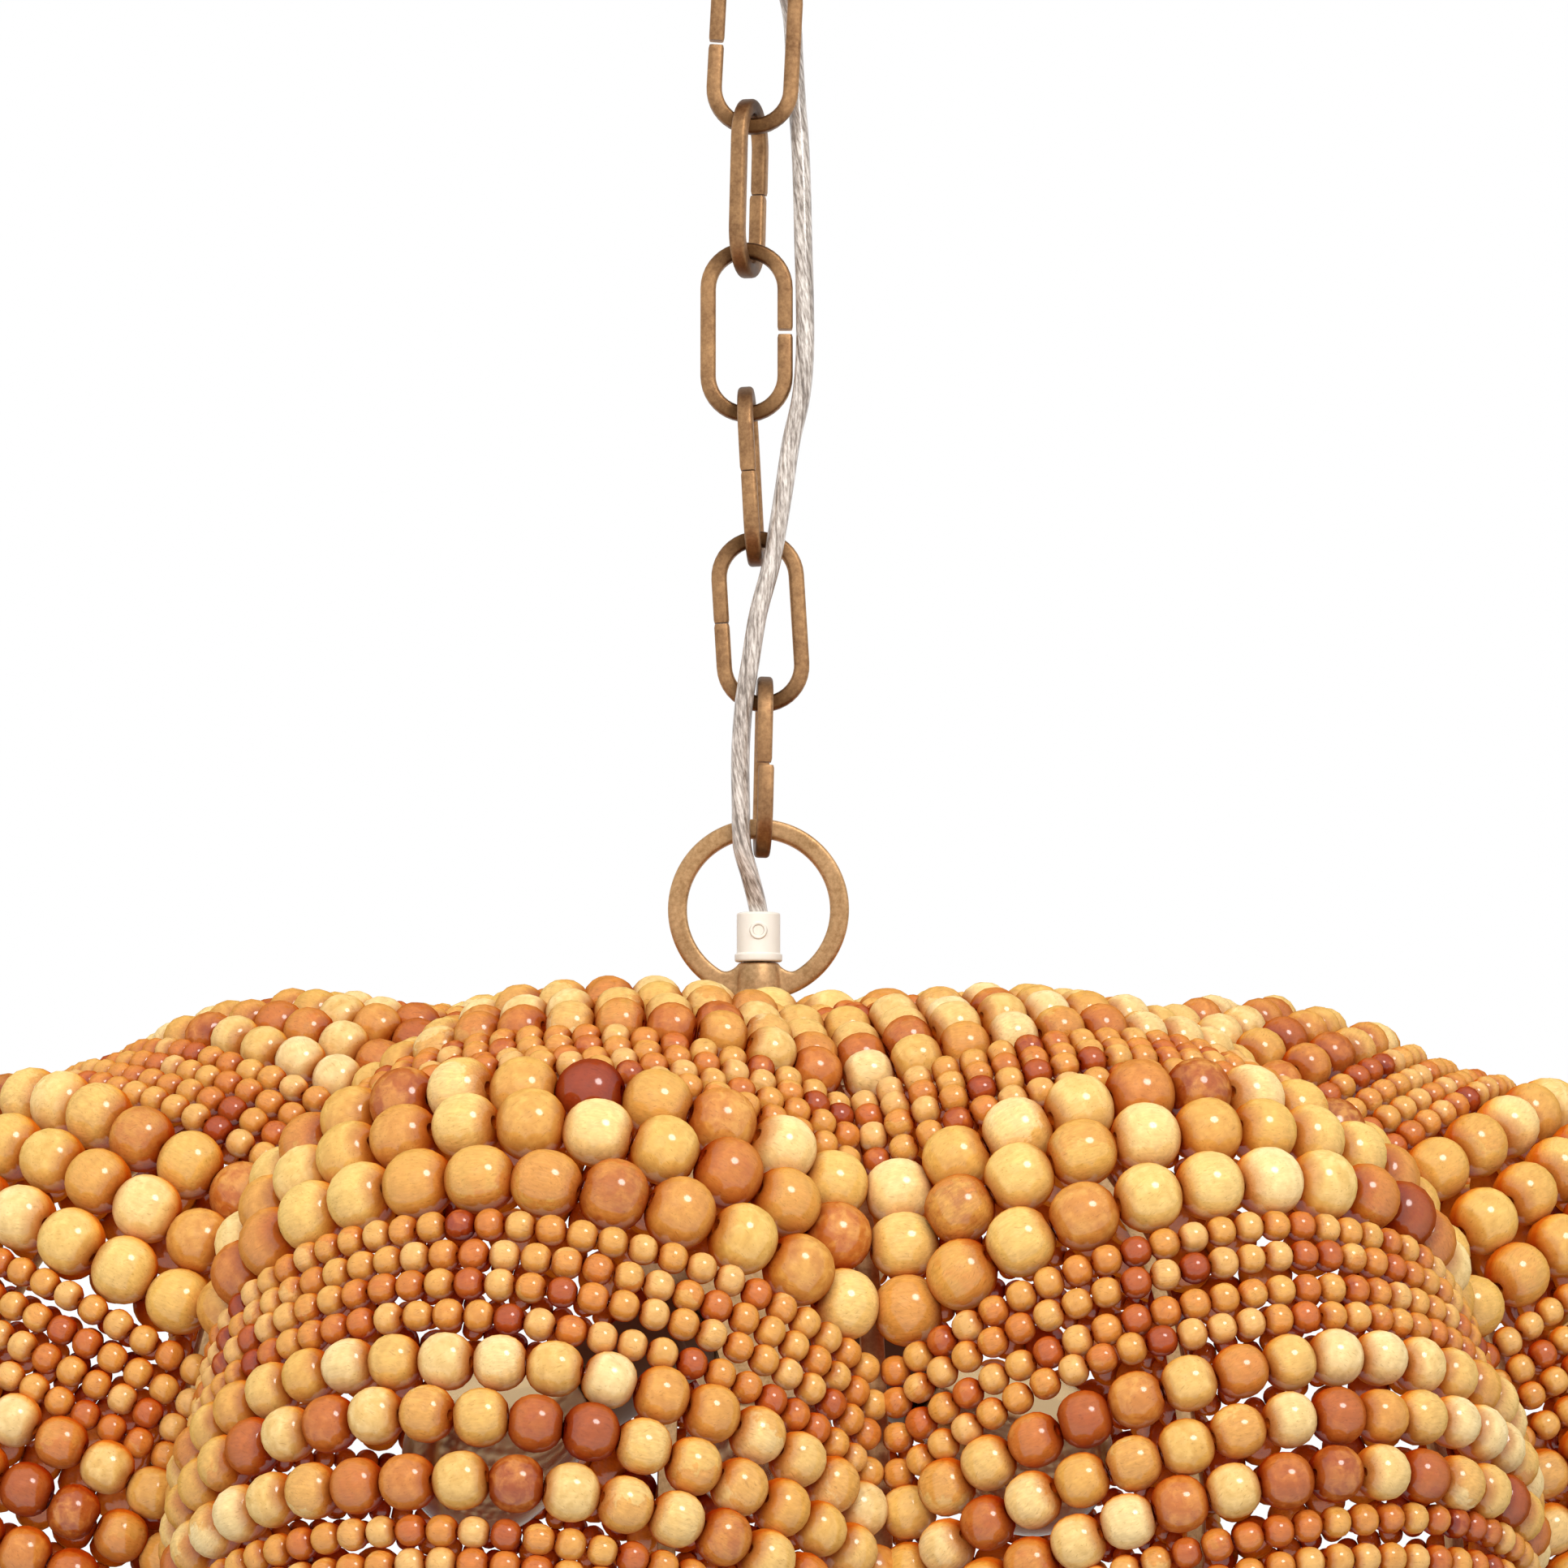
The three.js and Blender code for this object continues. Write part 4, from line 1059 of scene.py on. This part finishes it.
cap_top = CROWN - 6.3
turned_piece("cap_disc", [
    (BORE, cap_top), (9, cap_top), (16, cap_top - 0.8), (18, cap_top - 1.6), (30, cap_top - 3.4),
    (32, cap_top - 4.2), (38, cap_top - 5.0), (38, cap_top - 6.5), (9, cap_top - 1.5),
    (BORE, cap_top - 1.5), (BORE, cap_top)], brass, "shade", "top_cap", 0.6, 96)
turned_piece("spacer_sleeve", [
    (BORE, cap_top - 1.8), (8, cap_top - 1.8), (8, cap_top - 17.2), (BORE, cap_top - 17.2),
    (BORE, cap_top - 1.8)], brass, "shade", "stem_spacer")


def threaded(name, top, foot, body, replaced):
    """A threaded tube, its thread cut as fine rings."""
    profile = [(TUBE_BORE, top), (THREAD_RADIUS - 0.4, top)]
    height = top - 0.5
    while height > foot + 1.0:
        profile += [(THREAD_RADIUS, height), (THREAD_RADIUS - 0.45, height - 0.5)]
        height -= 1.0
    profile += [(THREAD_RADIUS - 0.4, foot), (TUBE_BORE, foot), (TUBE_BORE, top)]
    dress(object_of(name, turned(profile, 40), 70), steel, body, replaced)


threaded("stem_tube", CROWN - 0.3, CROWN - 84.3, "shade", "centre_stem")
threaded("nipple_tube", -0.3, -32.0, "ceiling", "threaded_nipple")

cluster_foot = CROWN - 116.3
turned_piece("finial_knob", [
    (0, cluster_foot - 0.3), (9, cluster_foot - 0.3), (9, cluster_foot - 3.3), (4.5, cluster_foot - 5.3),
    (6.3, cluster_foot - 9.3), (4.5, cluster_foot - 13.8), (0, cluster_foot - 15.3)],
    brass, "shade", "cluster_finial", 1.5)

# The cluster has six sides that narrow to its foot, and a lamp stands on every second one
CLUSTER_TOP_RADIUS = 38
CLUSTER_FOOT_RADIUS = 15
CLUSTER_HEIGHT = 38
CLUSTER_MIDDLE = CROWN - 97.3
SIDE_SHARE = cos(pi / 6)     # from the axis to a side's middle, of the corners' radius
BULB_NECK = 11
BULB_RADIUS = 22.5
BULB_WAIST = 74.1        # height of the widest place
BULB_WALL = 0.7
side_slope = atan2((CLUSTER_TOP_RADIUS - CLUSTER_FOOT_RADIUS) * SIDE_SHARE, CLUSTER_HEIGHT)
side_reach = (CLUSTER_TOP_RADIUS + CLUSTER_FOOT_RADIUS) / 2 * SIDE_SHARE
glass = [(BULB_NECK, 12.6), (BULB_NECK, 38.6)]
for i in range(17):
    t = i / 16
    glass.append((BULB_NECK + 11.5 * sin(t * pi / 2) ** 1.4, 38.6 + 35.5 * t))
for i in range(1, 17):
    t = i / 16 * pi / 2
    glass.append((BULB_RADIUS * cos(t), BULB_WAIST + BULB_RADIUS * sin(t)))
glass[-1] = (0, 96.6)
glass += [(max(r - BULB_WALL, 0), z - BULB_WALL * (z > 74)) for r, z in glass[::-1]] + [glass[0]]
for lamp in range(3):
    angle = lamp * tau / 3 + pi / 2
    seat = Vector((cos(angle) * side_reach, sin(angle) * side_reach, CLUSTER_MIDDLE)) * MM
    outwards = Matrix.Translation(seat) @ Matrix.Rotation(angle, 4, "Z")
    arm = outwards @ Matrix.Rotation(pi / 2 + side_slope, 4, "Y")
    # Each socket wears the ivory darkened as painted shade.
    turned_piece(f"socket_shell_{lamp + 1}", [
        (0, 0.3), (12.2, 0.3), (13, 3.0), (13, 9.0), (12.6, 9.4), (12.6, 11.0), (13, 11.4), (13, 38.3),
        (11.4, 38.3), (11.4, 12.3), (0, 12.3)], painted_shade_ivory, "shade",
        f"lamp_socket_{lamp + 1}", 0.5, 56, arm)
    dress(object_of(f"bulb_{lamp + 1}_glass", turned(glass, 48, arm), 45), clear_glass, "shade",
          f"bulb_{lamp + 1}")


# Canopy, its loop and the collar nut
bowl = [(62.3, 0), (63.5, 0), (63.5, -5)]
for i in range(1, 25):
    angle = i / 24 * pi / 2
    bowl.append((8.3 + 55.2 * cos(angle) ** 0.8, -5 - 25 * sin(angle)))
inner = [(max(8.3, r - 1.2), z + (1.2 if z < -5 else 0)) for r, z in bowl[:1:-1]]
dress(object_of("canopy_bowl", turned(bowl + inner + bowl[:1], 96), 40), brass, "ceiling",
      "canopy")
turned_piece("collar_ring", [
    (8.3, -30.3), (16, -30.3), (16, -33.3), (14.4, -34.0), (14.4, -36.0), (12, -39.3), (8.3, -39.3),
    (8.3, -30.3)], brass, "ceiling", "collar_nut", 0.6)
canopy_ring = ring_rings(-57.6, AXIS_Y, AXIS_X, 15.75, 4.5, 4.5, 1.15, 72)
canopy_stem = [(5.3, -16), (8, -16), (8, -39.6), (6.4, -42.4), (4.5, -44.1), (3.3, -44.1), (3.3, -32.3),
               (5.3, -32.3), (5.3, -16)]
dress(object_of("canopy_ring", joined([skin_part(canopy_ring, True), lathe_part(canopy_stem, 48)]), 40),
      brass, "ceiling", "canopy_loop")

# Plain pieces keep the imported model's solids, with their edges eased
EDGE_WIDTH = 0.0004
for name, material in (("ceiling_bracket", steel), ("nipple_nut", steel), ("hub_nut", steel),
                       ("lamp_cluster", brass)):
    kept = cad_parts[name]
    kept.data.materials.clear()
    kept.data.materials.append(material)
    bevel = kept.modifiers.new("edge", "BEVEL")
    bevel.width = EDGE_WIDTH
    bevel.segments = 2
    bevel.limit_method = "ANGLE"


# Stage and lights
FLOOR_REACH = 9.0
FLOOR_LEVEL = -4.2
FLOOR_GLOW = 0.6
ROOM_LIGHT = 0.68
SPOT_ANGLE = radians(30)
SOFT_SPREAD = radians(75)


def background_rays(tree):
    """One for rays that show the background: the camera's, and those by way of gloss or glass."""
    path = node(tree, "ShaderNodeLightPath").outputs
    clear = maths(tree, "MAXIMUM", path["Is Transmission Ray"], path["Is Glossy Ray"])
    return maths(tree, "MAXIMUM", path["Is Camera Ray"], clear)


def make_stage():
    mesh = bpy.data.meshes.new("floor")
    corners = [(x * FLOOR_REACH, y * FLOOR_REACH, 0) for x, y in ((-1, -1), (1, -1), (1, 1), (-1, 1))]
    mesh.from_pydata(corners, [], [(0, 1, 2, 3)])
    floor = placed("floor", mesh)
    floor.location = (0, 0, FLOOR_LEVEL)
    material, tree, shader = material_of("pale_floor")
    tone = noise(tree, object_place(tree), 3.0, 2.0)
    feed(tree, shader, Base_Color=grey_ramp(tree, tone, 0.3, 0.7, 0.86, 0.88), Roughness=0.8,
         Emission_Color=(1, 1, 1, 1),
         Emission_Strength=times(tree, background_rays(tree), FLOOR_GLOW))
    mesh.materials.append(material)


def light_from(name, kind, azimuth, elevation, energy, size, color, distance):
    """A light to the camera's right for a positive azimuth, shining on the shade's middle."""
    a, e = radians(azimuth), radians(elevation)
    way = Vector((sin(a) * cos(e), -cos(a) * cos(e), sin(e)))
    data = bpy.data.lights.new(name, kind)
    data.energy = energy
    data.color = color
    if kind == "SPOT":
        data.spot_size = SPOT_ANGLE
        data.spot_blend = 0.4
        data.shadow_soft_size = size / 2
    else:
        data.shape = "DISK"
        data.size = size
        data.spread = SOFT_SPREAD
    lamp_object = placed(name, data)
    lamp_object.visible_glossy = kind == "SPOT"
    lamp_object.rotation_mode = "QUATERNION"
    lamp_object.rotation_quaternion = way.to_track_quat("Z", "Y")
    lamp_object.location = Vector((0, 0, (CROWN - 90) * MM)) + way * distance


def make_world():
    world = bpy.data.worlds.new("white_room")
    bpy.context.scene.world = world
    world.use_nodes = True
    tree = world.node_tree
    tree.nodes.clear()
    seen = node(tree, "ShaderNodeBackground", Color=(1, 1, 1, 1), Strength=1.0)
    lit = node(tree, "ShaderNodeBackground", Color=(1.0, 0.985, 0.96, 1), Strength=ROOM_LIGHT)
    both = node(tree, "ShaderNodeMixShader", Fac=background_rays(tree))
    fill(tree, both.inputs[1], lit.outputs[0])
    fill(tree, both.inputs[2], seen.outputs[0])
    node(tree, "ShaderNodeOutputWorld", Surface=both.outputs[0])


make_stage()
make_world()
light_from("key_light", "SPOT", 27, 38, 90.0, 0.9, (1.0, 0.98, 0.95), 2.6)
light_from("front_soft", "AREA", -12, 28, 6.5, 1.6, (1.0, 0.99, 0.97), 2.3)
bpy.context.scene.view_settings.view_transform = "Standard"
